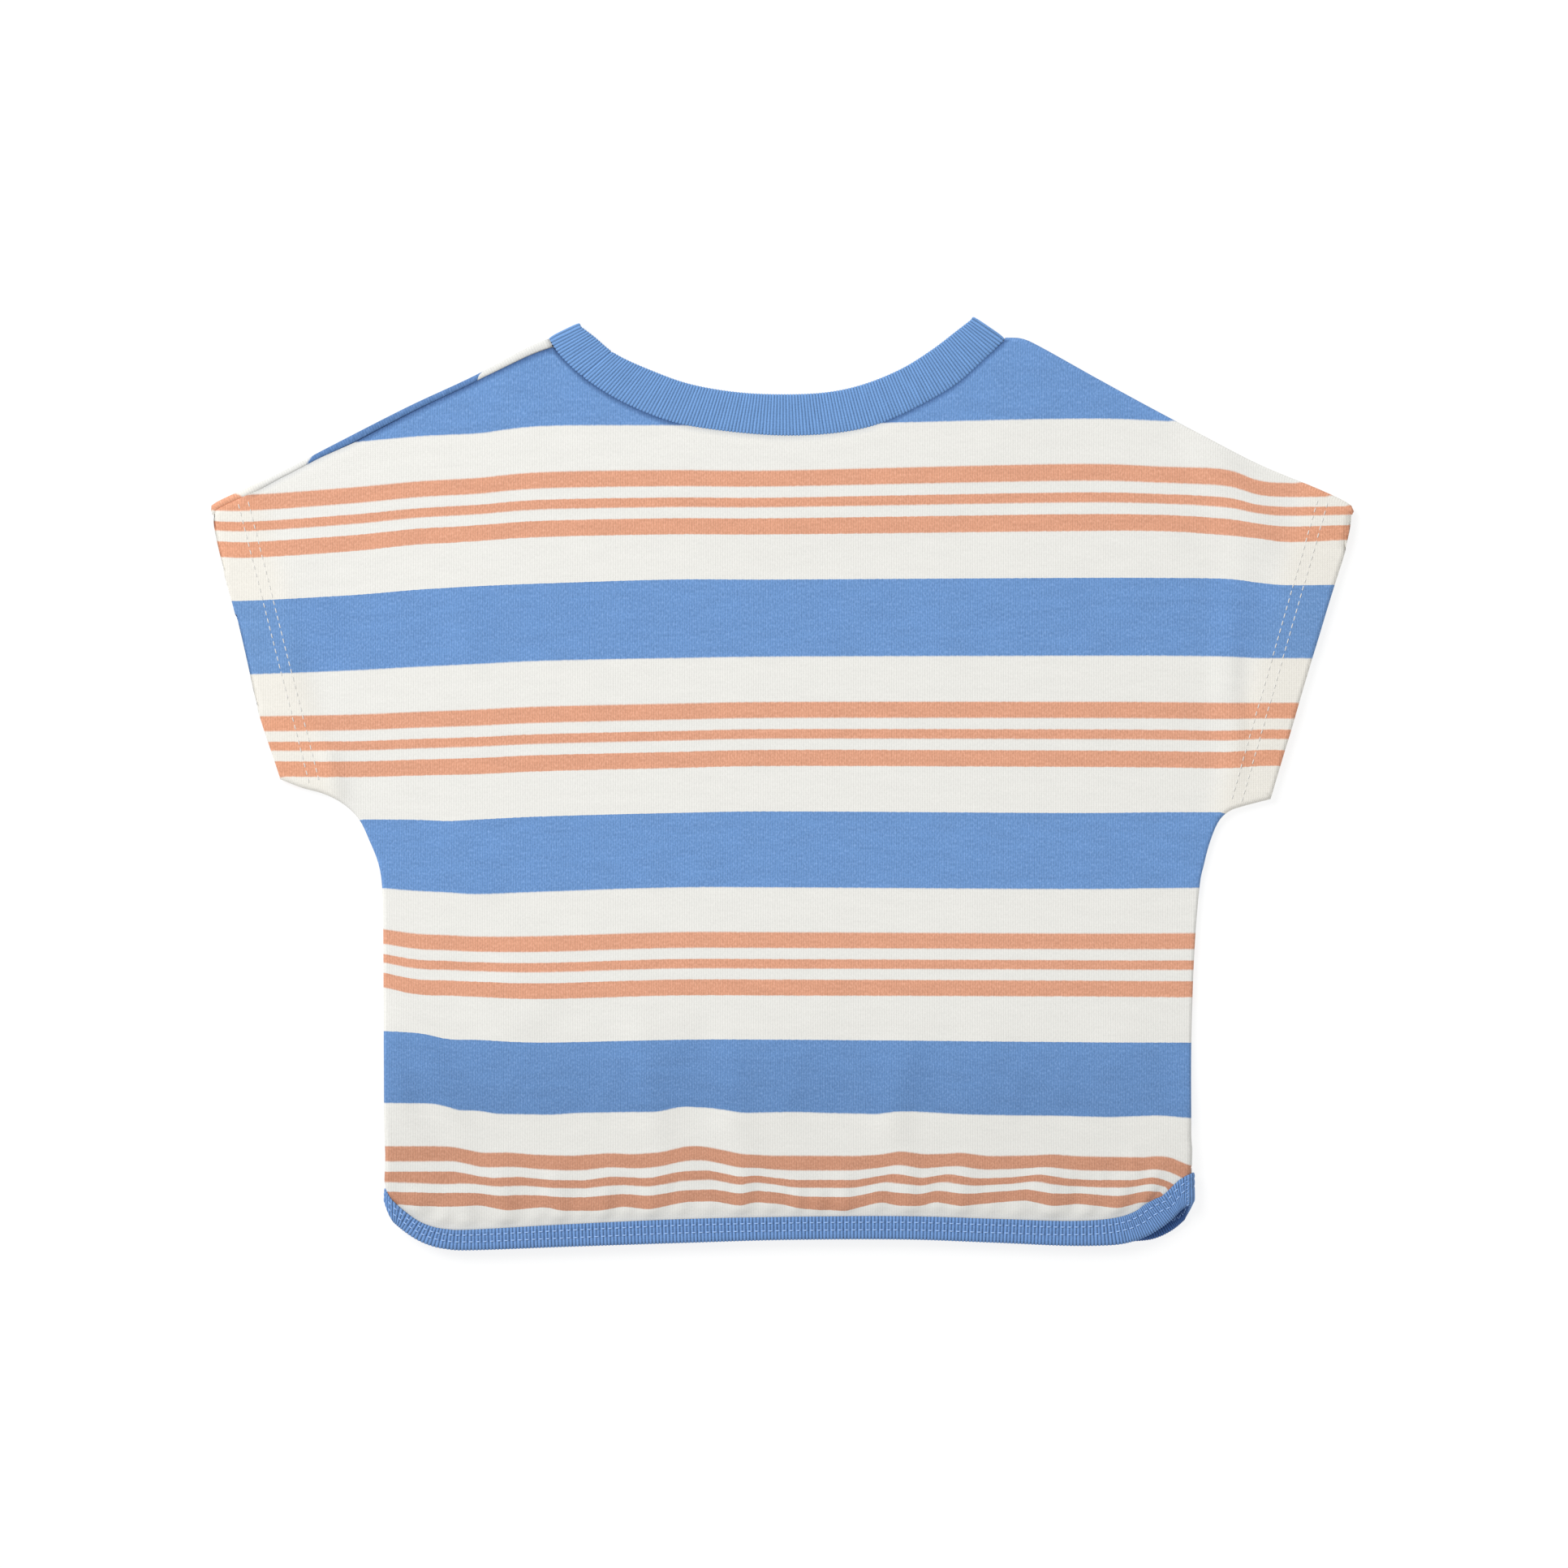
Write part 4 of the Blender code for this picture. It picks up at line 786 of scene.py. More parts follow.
# %% [markdown]
# The back's edge dips by a few tenths of a millimetre at the neck and at the left shoulder
# seam, because the seam draws it down. That dip is what shows as the fine dark line along
# a seam, and a painted shade darkens the colour a little in it as well.

# %% Patch between the edges
SEAM_DIP = 0.28
SEAM_DIP_WIDTH = 1.2
SEAM_PARTS = 12
TUCK_RAMP = 8.0


def seam_bell(points, line, half_width):
    """A bell of the distance of each point from a sewn edge: 1 on it, 0 far away.

    The edge is taken in parts, so that the table of distances stays small."""
    flat = points[..., :2].reshape(-1, 2)
    nearest = np.full(len(flat), 1e9)
    for part in np.array_split(line, SEAM_PARTS):
        gap = np.linalg.norm(flat[:, None] - part[None], axis=2).min(axis=1)
        nearest = np.minimum(nearest, gap)
    return np.exp(-(nearest.reshape(points.shape[:-1]) / half_width) ** 2)


def cuff_edge(layer, side, start, tip):
    """Places up a cuff's edge, from its underarm corner to its tip, bowed out by its table."""
    share = np.linspace(0.0, 1.0, PANEL_GRID[layer]["cuff"] + 1)[1:, None]
    bow = np.interp(share, *smooth_line(CUFF_BOW[side]).T)
    bow = bow - CUFF_TUCK[layer] * np.clip(TUCK_RAMP * np.minimum(share, 1.0 - share), 0.0, 1.0)
    return start + share * (tip - start) - cuff_ways(side)[1] * bow


def panel_patch(layer, top, left, right):
    """A flat grid between four lines: (1-v) hem + v top, plus the bend of each side.

    A side's bend is how far it lies off a straight line. The left one's is added times
    (1-u)^2 and the right one's times u^2."""
    u = run_lengths(top) / run_lengths(top)[-1]
    v = (run_lengths(left) / run_lengths(left)[-1] + run_lengths(right) / run_lengths(right)[-1]) / 2
    hem_x = left[0, 0] + u * (right[0, 0] - left[0, 0])
    bottom = np.column_stack([hem_x, free_edge(layer, hem_x)])
    uu, vv = u[None, :, None], v[:, None, None]
    flat = (1 - vv) * bottom[None] + vv * top[None]
    for line, corner, weight in ((left, 0, (1 - uu) ** 2), (right, -1, uu ** 2)):
        straight = (1 - vv) * bottom[corner] + vv * top[corner]
        flat = flat + weight * (line[:, None] - straight)
    return flat


print("the cuffs bow out by up to", max(bow for _, bow in CUFF_BOW[-1]), "mm on the left and",
      max(bow for _, bow in CUFF_BOW[1]), "mm on the right")

# %% [markdown]
# The rolled strips are joined on to the patch as more columns and rows. A grid has to
# stay a rectangle, so the strips are padded with cells that are never made into faces.

# %% Rolled strips on the patch
ROLL_SHEAR_REACH = 9.0
LEAST_ROLL = 0.2
STRIP_DRAWN = 6.0
STRIP_DRAWN_FROM = (-138.0, -112.0)
STRIPE_MATCH = (0.1, 0.4)


def side_rolls(layer, side, start, ways, sheet, cut):
    """Columns that carry a panel round one side, with their cut coordinates and the hem's x."""
    column = 0 if side < 0 else -1
    height = sheet[:len(start), column, 2]
    seam = (level("front", *start.T) + level("back", *start.T)) / 2
    strips, used = quarter_roll(start, ways, height, seam - height)
    above_hem = start[:, 1] - start[0, 1]
    turns = np.sin(ROLL_SHARES * math.pi / 2)
    outline_x = start[0, 0] + side * turns * (abs(seam[0] - height[0]) + BIND_OUT)
    strip_cuts = []
    for outer_x, strip, cloth in zip(outline_x, strips, used):
        shear = free_edge(layer, outer_x) - start[0, 1]
        strip[:, 1] += shear * (1.0 - smoothstep(0.0, ROLL_SHEAR_REACH, above_hem))
        down = down_the_cloth(layer, strip[:, 0], strip[:, 1])
        strip_cuts.append(np.stack([cut[:len(start), column, 0] + side * cloth, down], axis=1))
    pad = ((0, len(sheet) - len(start)), (0, 0))
    points = np.stack([np.pad(strip, pad, mode="edge") for strip in strips], axis=1)
    cuts = np.stack([np.pad(strip, pad, mode="edge") for strip in strip_cuts], axis=1)
    return points, cuts, outline_x


def add_sides(layer, sides, sheet, cut):
    """The sheet with both rolled sides, and below it the raw edge that the binding hides."""
    left, left_cut, left_x = side_rolls(layer, -1, *sides[-1], sheet, cut)
    right, right_cut, right_x = side_rolls(layer, 1, *sides[1], sheet, cut)
    hem_x = np.concatenate([left_x[::-1], sheet[0, :, 0], right_x])
    grid = np.concatenate([left[:, ::-1], sheet, right], axis=1)
    cut = np.concatenate([left_cut[:, ::-1], cut, right_cut], axis=1)
    raw_edge, raw_cut = grid[:1].copy(), cut[:1].copy()
    raw_edge[0, :, 1] = cloth_hem(layer, hem_x)
    raw_cut[0, :, 1] += grid[0, :, 1] - raw_edge[0, :, 1]
    return np.concatenate([raw_edge, grid]), np.concatenate([raw_cut, cut])


def shoulder_rolls(layer, top, ways, left_flap, height):
    """Rows that carry a panel over its shoulders, and the cloth used up to each.

    They make a quarter turn, but the front turns right over at its left shoulder."""
    seam = (level("front", *top.T) + level("back", *top.T)) / 2
    upward = 1 if layer == "front" else -1
    half_height = upward * np.maximum(upward * (seam - height), LEAST_ROLL)
    over, used = quarter_roll(top, ways, height, half_height)
    if layer == "back":
        return over, used
    flap = np.zeros(len(top))
    flap[:len(left_flap)] = left_flap
    whole, whole_used = half_roll(top, ways, height, half_height, flap)
    over = over + over[-1:] * (len(whole) - len(over))
    used = used + used[-1:] * (len(whole) - len(used))
    is_left = np.arange(len(top)) < len(left_flap)
    over = [np.where(is_left[:, None], turned, plain) for turned, plain in zip(whole, over)]
    used = [np.where(is_left, turned, plain) for turned, plain in zip(whole_used, used)]
    return over, used


def add_shoulders(layer, grid, cut, top, ways, left_flap):
    """The grid with its shoulder rolls on top, and where on them the left tip is.

    The stripes move on by the cloth used up. On the front's left strip the seam has drawn
    them further, and at its tip they match the back's."""
    over, used = shoulder_rolls(layer, top, ways, left_flap, grid[-1, ROLL_STEPS:-ROLL_STEPS, 2])
    top_cut = cut[-1, ROLL_STEPS:-ROLL_STEPS]
    is_front = layer == "front"
    drawn = is_front * STRIP_DRAWN * smoothstep(*STRIP_DRAWN_FROM, top[:, 0]) * (top[:, 0] < 0)
    at_tip = is_front * (1.0 - smoothstep(*TIP_ZONE, top[:, 0]))
    pad = ((ROLL_STEPS, ROLL_STEPS), (0, 0))
    for number, (row, cloth) in enumerate(zip(over, used)):
        row_cut = top_cut - np.column_stack([np.zeros(len(top)), cloth * np.abs(ways[:, 1]) + drawn])
        matched = down_the_cloth("back", row[:, 0], row[:, 1])
        turned = smoothstep(*STRIPE_MATCH, (number + 1) / len(over))
        row_cut[:, 1] += (matched - row_cut[:, 1]) * at_tip * turned
        grid = np.concatenate([grid, np.pad(row, pad, mode="edge")[None]])
        cut = np.concatenate([cut, np.pad(row_cut, pad, mode="edge")[None]])
    return grid, cut, at_tip


print("over the left shoulder the front turns in", HALF_STEPS + FLAP_STEPS, "rows")

# %% Whole panels
# Painted shade on the panels: a fine line along the back's sewn edges, a line above the binding at the left
# hem corner, and the front's rolled strip at the left shoulder
SEAM_SHADE_WIDTH = 0.65
STRIP_SHADE = 0.45
CORNER_SHADE = 0.8
CORNER_SHADE_WIDTH = 0.6
CORNER_ZONE = (-146.0, -128.0)


def panel_cells(layer, shape, rolled, first_roll):
    """Which cells of the padded grid are cloth: not those beside its rolls or over the neck."""
    cells = np.ones((shape[0] - 1, shape[1] - 1), dtype=bool)
    cells[rolled:, :ROLL_STEPS] = False
    cells[rolled:, -ROLL_STEPS:] = False
    neck_start = ROLL_STEPS + PANEL_GRID[layer]["shoulder"]
    neck_end = neck_start + PANEL_GRID[layer]["neck"]
    cells[first_roll:, neck_start:neck_end] = False
    cells[first_roll + ROLL_STEPS:, neck_end:] = False
    if layer == "back":
        cells[first_roll:, :neck_start] = False
    return cells


def panel_shade(layer, grid, sewn, first_roll, at_tip):
    """Painted shade at each place, 0 to 1: along seams, above the left hem corner, on the left strip."""
    if layer == "back":
        shade = seam_bell(grid, sewn, SEAM_SHADE_WIDTH) * smoothstep(*TIP_ZONE, grid[..., 0])
        above = grid[..., 1] - free_edge(layer, grid[..., 0]) + ABOVE_BINDING
        at_corner = 1.0 - smoothstep(*CORNER_ZONE, grid[..., 0])
        return shade + CORNER_SHADE * at_corner * np.exp(-(above / CORNER_SHADE_WIDTH) ** 2)
    shade = np.zeros(grid.shape[:2])
    strip = slice(ROLL_STEPS, ROLL_STEPS + PANEL_GRID[layer]["shoulder"] + 1)
    shade[first_roll + ROLL_STEPS:, strip] = STRIP_SHADE
    shade[-1, strip] = 1.0
    shade[:, ROLL_STEPS:-ROLL_STEPS] *= 1.0 - at_tip
    return shade


def panel_surface(layer):
    """Points, cut coordinates, cells and shade of a panel's middle surface."""
    rows = PANEL_GRID[layer]
    left_top, left_ways, left_flap = shoulder_line(layer, -1, rows["shoulder"])
    right_top, right_ways, _ = shoulder_line(layer, 1, rows["shoulder"])
    neck = neck_line(layer, left_top[-1], right_top[0], rows["neck"])
    top = np.vstack([left_top, neck[1:-1], right_top])
    ways = np.vstack([left_ways, np.zeros((rows["neck"] - 1, 2)), right_ways])
    sewn = np.vstack([left_top, neck])
    sides = {side: side_line(layer, side, rows) for side in (-1, 1)}
    left, right = sides[-1][0], sides[1][0]
    rolled = len(left)
    left = np.vstack([left, cuff_edge(layer, -1, left[-1], top[0])])
    right = np.vstack([right, cuff_edge(layer, 1, right[-1], top[-1])])

    flat = panel_patch(layer, top, left, right)
    z = surface(layer, flat[..., 0], flat[..., 1])
    if layer == "back":
        z = z - SEAM_DIP * seam_bell(flat, sewn, SEAM_DIP_WIDTH) * smoothstep(*TIP_ZONE, flat[..., 0])
    sheet = np.concatenate([flat, z[..., None]], axis=2)
    cut = np.stack([flat[..., 0], down_the_cloth(layer, flat[..., 0], flat[..., 1])], axis=2)
    grid, cut = add_sides(layer, sides, sheet, cut)
    grid, cut, at_tip = add_shoulders(layer, grid, cut, top, ways, left_flap)
    cells = panel_cells(layer, grid.shape, rolled, len(left))
    return grid, cut, cells, panel_shade(layer, grid, sewn, len(left), at_tip)


back_points, back_cut, back_cells, back_shade = panel_surface("back")
front_points, front_cut, front_cells, front_shade = panel_surface("front")
print("the back has", back_cells.sum(), "cells and the front", front_cells.sum())

# %% [markdown]
# ## From a surface to cloth
#
# Cloth has two faces and an edge. Solidify would add them, but here the normals are
# worked out in numpy, so the wall can be thicker at the cuffs and the cut edge can be
# rounded: the two faces lie half a wall to each side, and a row of points between them
# is pushed outwards along every free edge.

# %% Cloth shells
RIM_ROUNDNESS = 0.5


def grid_normals(points):
    """Unit normals of a grid: the cross product of its two directions."""
    across = np.gradient(points, axis=1)
    upward = np.gradient(points, axis=0)
    return unit(np.cross(across, upward))


def fill_mesh(name, points, faces, coordinates=None):
    """A mesh object from arrays: points in mm, faces as rows of corners, UV per corner."""
    mesh = bpy.data.meshes.new(name)
    mesh.from_pydata(points * (FIT * MM, FIT * MM, MM), [], faces)
    if coordinates is not None:
        layer = mesh.uv_layers.new(name="cut")
        layer.data.foreach_set("uv", coordinates.astype(np.float32).ravel())
    mesh.shade_smooth()
    piece = bpy.data.objects.new(name, mesh)
    bpy.context.scene.collection.objects.link(piece)
    return piece


def store_values(piece, title, values):
    """One number for each vertex, under a title that materials can read."""
    attribute = piece.data.attributes.new(title, "FLOAT", "POINT")
    attribute.data.foreach_set("value", values.astype(np.float32).ravel())


def cloth_shell(name, points, cut, cells, shade, thickness):
    """A wall round a grid's middle surface, closed by a rounded rim on every free edge."""
    row_count, column_count = points.shape[:2]
    number = np.arange(row_count * column_count).reshape(row_count, column_count)
    corners = np.stack([number[:-1, :-1], number[:-1, 1:], number[1:, 1:], number[1:, :-1]], axis=2)
    quads = corners[cells]
    used, quads = np.unique(quads, return_inverse=True)
    quads = quads.reshape(-1, 4)
    middle = points.reshape(-1, 3)[used]
    normals = grid_normals(points).reshape(-1, 3)[used]
    half = thickness.reshape(-1, 1)[used] / 2
    flat = cut.reshape(-1, 2)[used]
    total = len(middle)

    edges = np.concatenate([quads[:, [a, (a + 1) % 4]] for a in range(4)])
    key = np.sort(edges, axis=1) @ np.array([total, 1])
    _, first, count = np.unique(key, return_index=True, return_counts=True)
    free = edges[first[count == 1]]
    outward = np.zeros((total, 3))
    along_edge = middle[free[:, 1]] - middle[free[:, 0]]
    for end in (0, 1):
        np.add.at(outward, free[:, end], np.cross(along_edge, normals[free[:, end]]))
    rim = np.unique(free)
    rim_place = np.full(total, -1)
    rim_place[rim] = 2 * total + np.arange(len(rim))
    rim_points = middle[rim] + unit(outward[rim]) * half[rim] * RIM_ROUNDNESS

    everything = np.vstack([middle + normals * half, middle - normals * half, rim_points])
    flat_all = np.vstack([flat, flat, flat[rim]])
    a, b = free.T
    faces = np.vstack([quads, quads[:, ::-1] + total,
                       np.stack([b, a, rim_place[a], rim_place[b]], axis=1),
                       np.stack([rim_place[b], rim_place[a], a + total, b + total], axis=1)])
    piece = fill_mesh(name, everything, faces, flat_all[faces.ravel()] / REPEAT)
    shades = shade.reshape(-1)[used]
    store_values(piece, "doubled", doubled(everything[:, 0], everything[:, 1]))
    store_values(piece, "shade", np.concatenate([shades, shades, shades[rim]]))
    return piece


back_panel = cloth_shell("back_jersey", back_points, back_cut, back_cells, back_shade,
                         wall(back_points[..., 0], back_points[..., 1]))
front_panel = cloth_shell("front_jersey", front_points, front_cut, front_cells, front_shade,
                          wall(front_points[..., 0], front_points[..., 1]))
for piece in (back_panel, front_panel):
    piece.data.calc_loop_triangles()
    print(piece.name, "has", len(piece.data.loop_triangles), "triangles")

# %% [markdown]
# ## The rib strips
#
# A rib knit has ridges that all run across the strip, with a sharp furrow between every
# two. Bump could fake them, but the strips are seen against the light at the neck, so
# here the furrows are in the mesh: |cos| of the distance along the strip is 1 on a ridge
# and falls to a sharp 0 in each furrow.
#
# Both strips are closed rings: they run along the back, round a side fold and back along
# the front. A ring is first a list of stations, each with the two edges of the strip and
# the direction that its outer face looks. It is then sampled anew at even distances along
# the middle of the strip, four places for each rib.

# %% Rings
PLACES_PER_RIB = 4
RIDGE_POWER = 0.6


def resample_ring(stations, pitch, extra=0.0):
    """Stations round a closed ring, four to a rib, with the ribs and pairs of ribs up to each.

    A pair is two ribs of the given pitch, or up to three finer ones where extra rises to 1."""
    closed = np.vstack([stations, stations[:1]])
    run = run_lengths((closed[:, 0:3] + closed[:, 3:6]) / 2, axes=3)
    pairs = run / run[-1] * round(run[-1] / (2 * pitch))
    more = np.append(extra * np.ones(len(stations)), 0.0)
    more = np.append(0.0, np.cumsum(np.diff(pairs) * (more[1:] + more[:-1]) / 2))
    more = more * round(more[-1]) / max(more[-1], 1e-9)
    ribs = 2 * pairs + more
    wanted = np.arange(int(round(ribs[-1])) * PLACES_PER_RIB) / PLACES_PER_RIB
    where = np.interp(wanted, ribs, run)
    fresh = np.stack([np.interp(where, run, column) for column in closed.T], axis=1)
    return fresh, wanted, np.interp(wanted, ribs, pairs), run[-1]


def furrows(ribs):
    """0 on a ridge and 1 in a furrow: 1 - |cos(pi * ribs)|, with the ridge made flatter."""
    return 1.0 - np.abs(np.cos(math.pi * ribs)) ** RIDGE_POWER


def ring_mesh(name, points, ribs, round_run):
    """A closed ring from points[station, place in the section], with UV in ribs and mm."""
    stations, around = points.shape[:2]
    number = np.arange(stations * around).reshape(stations, around)
    nxt, beside = np.roll(number, -1, axis=0), np.roll(number, -1, axis=1)
    faces = np.stack([number, beside, np.roll(nxt, -1, axis=1), nxt], axis=2).reshape(-1, 4)
    ribs_next = ribs + 1.0 / PLACES_PER_RIB
    run_next = np.append(round_run[1:], 2 * round_run[-1] - round_run[-2])
    u = np.stack([ribs, ribs, ribs_next, ribs_next], axis=1)[:, None]
    v = np.stack([round_run, run_next, run_next, round_run], axis=1)[None]
    coordinates = np.stack(np.broadcast_arrays(u, v), axis=3)
    return fill_mesh(name, points.reshape(-1, 3), faces, coordinates)


def section_normals(sections):
    """Unit normals of closed sections, pointing inwards, in the plane (across, out) of each."""
    step = np.roll(sections, -1, axis=-2) - np.roll(sections, 1, axis=-2)
    return unit(np.stack([-step[..., 1], step[..., 0]], axis=-1))


print("furrow depth on a ridge and in a furrow:", furrows(np.array([0.0, 0.5])))

# %% [markdown]
# ### The neckband
#
# The neckband is a strip folded in half lengthways, so its opening edge is a soft fold
# and its other edge is sewn to the shirt. Its section is a long flat oval: a
# superellipse, in which the powers of cosine and sine below 1 fill out the corners.

# %% Neckband
NECK_RIB = 1.21
NECK_RIB_DEPTH = 0.26
BAND_AROUND = 26
BAND_STATIONS = 160
FOLD_STEPS = 16
NECK_END_REACH = 0.6
FULLNESS_ACROSS = 0.55
FULLNESS_UP = 0.45
SEAM_SINK = 0.25
SEAM_SINK_WIDTH = 1.6
BAND_JOIN_AT = (-75.3, 157.0)
BAND_JOIN_DEPTH = 0.35
BAND_JOIN_RIBS = 0.35


def neck_stations():
    """Seam edge, opening edge and outer direction: over the back neck and back in front."""
    half = BAND_THICKNESS / 2
    radius = (BAND_LEVEL["back"] - BAND_LEVEL["front"]) / 2
    middle = (BAND_LEVEL["back"] + BAND_LEVEL["front"]) / 2
    up = np.array([0.0, 0.0, 1.0])
    parts = []
    for layer, sign in (("back", 1), ("front", -1)):
        rows = np.array(NECK_ROWS[layer])[::sign]
        for end, side in ((0, -sign), (-1, sign)):
            way = neck_fold_way(rows[end], side)
            inset = radius + half - (NECK_END_REACH if side < 0 else 0.0)
            rows[end, 0:2] -= way * inset
            rows[end, 2:4] -= way * inset
        line = along(smooth_line(rows), np.linspace(0.0, 1.0, BAND_STATIONS))
        flat = np.full(len(line), BAND_LEVEL[layer])
        out = np.tile(up * sign, (len(line), 1))
        parts.append(np.column_stack([line[:, 0:2], flat, line[:, 2:4], flat - line[:, 4], out]))
        way = np.append(neck_fold_way(rows[-1], sign), 0.0)
        angle = math.pi * np.arange(1, FOLD_STEPS)[:, None] / FOLD_STEPS
        out = way * np.sin(angle) + up * sign * np.cos(angle)
        seam = np.append(rows[-1, 0:2], middle) + out * radius
        opening = np.append(rows[-1, 2:4], middle) + out * radius
        parts.append(np.column_stack([seam, opening, out]))
    return np.vstack(parts)


def make_neckband():
    """The folded rib strip: sections seam + across * a + out * h, less the furrows."""
    stations, ribs, _, length = resample_ring(neck_stations(), NECK_RIB)
    seam, opening, out = stations[:, 0:3], stations[:, 3:6], unit(stations[:, 6:9])
    width = np.linalg.norm(opening - seam, axis=1)[:, None]
    across = (opening - seam) / width
    angle = -2 * math.pi * np.arange(BAND_AROUND)[None] / BAND_AROUND
    a = width / 2 * (1.0 - np.sign(np.cos(angle)) * np.abs(np.cos(angle)) ** FULLNESS_ACROSS)
    h = BAND_THICKNESS / 2 * np.sign(np.sin(angle)) * np.abs(np.sin(angle)) ** FULLNESS_UP
    h = h * (1.0 - SEAM_SINK * np.exp(-(a / SEAM_SINK_WIDTH) ** 2))
    sections = np.stack([a, h], axis=2)
    normals = section_normals(sections)
    to_join = np.linalg.norm(seam[:, :2] - np.array(BAND_JOIN_AT), axis=1)
    join_at = ribs[np.argmin(np.where(out[:, 2] > 0.5, to_join, 1e9))]
    join_furrow = np.exp(-((ribs - join_at) / BAND_JOIN_RIBS) ** 2)
    depth = NECK_RIB_DEPTH * furrows(ribs) + BAND_JOIN_DEPTH * join_furrow
    sections = sections + normals * depth[:, None, None]
    points = seam[:, None] + across[:, None] * sections[..., 0:1] + out[:, None] * sections[..., 1:2]
    round_run = np.append(0.0, np.cumsum(np.linalg.norm(np.diff(sections[0], axis=0), axis=1)))
    return ring_mesh("neck_rib", points, ribs, round_run), length


neckband, neck_length = make_neckband()
print(f"the neckband is {neck_length:.0f} mm round")

# %% [markdown]
# ### The hem binding
#
# The binding is one strip folded over the raw edge of the cloth, so its section is a U
# that opens towards the neck. Two rows of stitches hold it, and each draws a shallow
# trough along it. Round the corners the ribs stay square to the edge, as they do on a
# strip that is eased round a curve. Between the rows every second furrow is deeper, where
# the thread pulls, so the ribs look like a course of bricks.
#
# The strip's two ends are joined near the right side. There its inner half is narrower, so
# the inside of the front shows as a pale sliver behind the lifted corner of the back.

# %% Hem binding
HEM_RIB = 1.33
HEM_RIB_DEPTH = 0.26
BINDING_STATIONS = 260
NORMAL_REACH = 8
EVENING = np.ones(2 * NORMAL_REACH + 1) / (2 * NORMAL_REACH + 1)
FINE_RIB_FROM = (127.0, 135.0)
STITCH_ROWS = (2.3, 5.2)
PAIR_DEPTH = 0.16
HOLE_DEPTH = 0.30
HOLE_SIZE = 0.45
JOIN_AT = (153.6, -161.6)
JOIN_DEPTH = 0.35
SMOOTH_PAST_JOIN = 5.0
INNER_LAP = 0.50
INNER_LAP_FROM = (147.0, 154.0)
TROUGH_DEPTH = 0.20
TROUGH_WIDTH = 0.55
LEG_DEPTHS = (0.0, 0.4, 1.0, 1.7, 2.3, 2.9, 3.6, 4.4, 5.2, 5.9)
LEG_REACH = 7.2
FOLD_DEPTH = 1.7
TURN_STEPS = 5
BINDING_END_REACH = 5.0
LIP_DROP = 0.30
LIP_WIDTH = 0.7
INSIDE_STEP = 0.3
POCKET_DEPTH = 0.55
SMOOTH_SHARE = 0.7
JOIN_WIDTH = 0.45
PAIR_POWER = 14


def binding_stations():
    """Outer edge, upper edge and outer direction of the binding, all round the hem."""
    radius = (HEM_LEVEL["back"] - HEM_LEVEL["front"]) / 2
    middle = (HEM_LEVEL["back"] + HEM_LEVEL["front"]) / 2
    left_x = HEM["back"][0][0] + radius + BIND_OUT
    right_x = HEM["back"][-1][0] - radius - BIND_OUT
    parts = []
    for layer, sign in (("back", 1), ("front", -1)):
        x = np.linspace(left_x, right_x, BINDING_STATIONS)
        edge, top, _ = hem_at(layer, x)
        line = np.column_stack([x, edge])
        line = along(line, np.linspace(0.0, 1.0, BINDING_STATIONS))
        edge, top, _ = hem_at(layer, line[:, 0])
        normal = left_of(line)
        evened = np.stack([np.convolve(np.pad(column, NORMAL_REACH, mode="edge"), EVENING, "valid")
                           for column in normal.T], axis=1)
        way = turned_ends(line, unit(evened), (0.0, 1.0), (0.0, 1.0), BINDING_END_REACH)
        reach = (top - edge) * normal[:, 1] / np.sum(way * normal, axis=1)
        upper = line + way * reach[:, None]
        flat = np.full(len(line), HEM_LEVEL[layer])
        out = np.tile((0.0, 0.0, float(sign)), (len(line), 1))
        part = np.column_stack([line, flat, upper, flat, out])
        parts.append(part[::sign])
        end = right_x if sign > 0 else left_x
        other = {"back": "front", "front": "back"}[layer]
        angle = np.linspace(0.0, math.pi, 2 * ROLL_STEPS + 3)[1:-1]
        across, rise = sign * np.sin(angle), sign * np.cos(angle)
        near_x = end + across * (radius + BIND_OUT)
        here, there = hem_at(layer, near_x), hem_at(other, near_x)
        nearer = angle <= math.pi / 2
        edge, top = np.where(nearer, here[0], there[0]), np.where(nearer, here[1], there[1])
        place_x, place_z = end + across * radius, middle + rise * radius
        none = np.zeros(len(angle))
        parts.append(np.column_stack([place_x, edge, place_z, place_x, top, place_z, across, none, rise]))
    return np.vstack(parts)


def narrowing(width):
    """How much the places across the strip close up where it is narrow."""
    return np.minimum(1.0, (width - FOLD_DEPTH) / LEG_REACH)


def leg_depths(width):
    """Depths below the upper edge of the places down a leg of the U, one row per station."""
    depths = np.array(LEG_DEPTHS)[None] * narrowing(width)
    rest = width - FOLD_DEPTH - depths[:, -1:]
    return np.hstack([depths, depths[:, -1:] + rest / 2, depths[:, -1:] + rest])


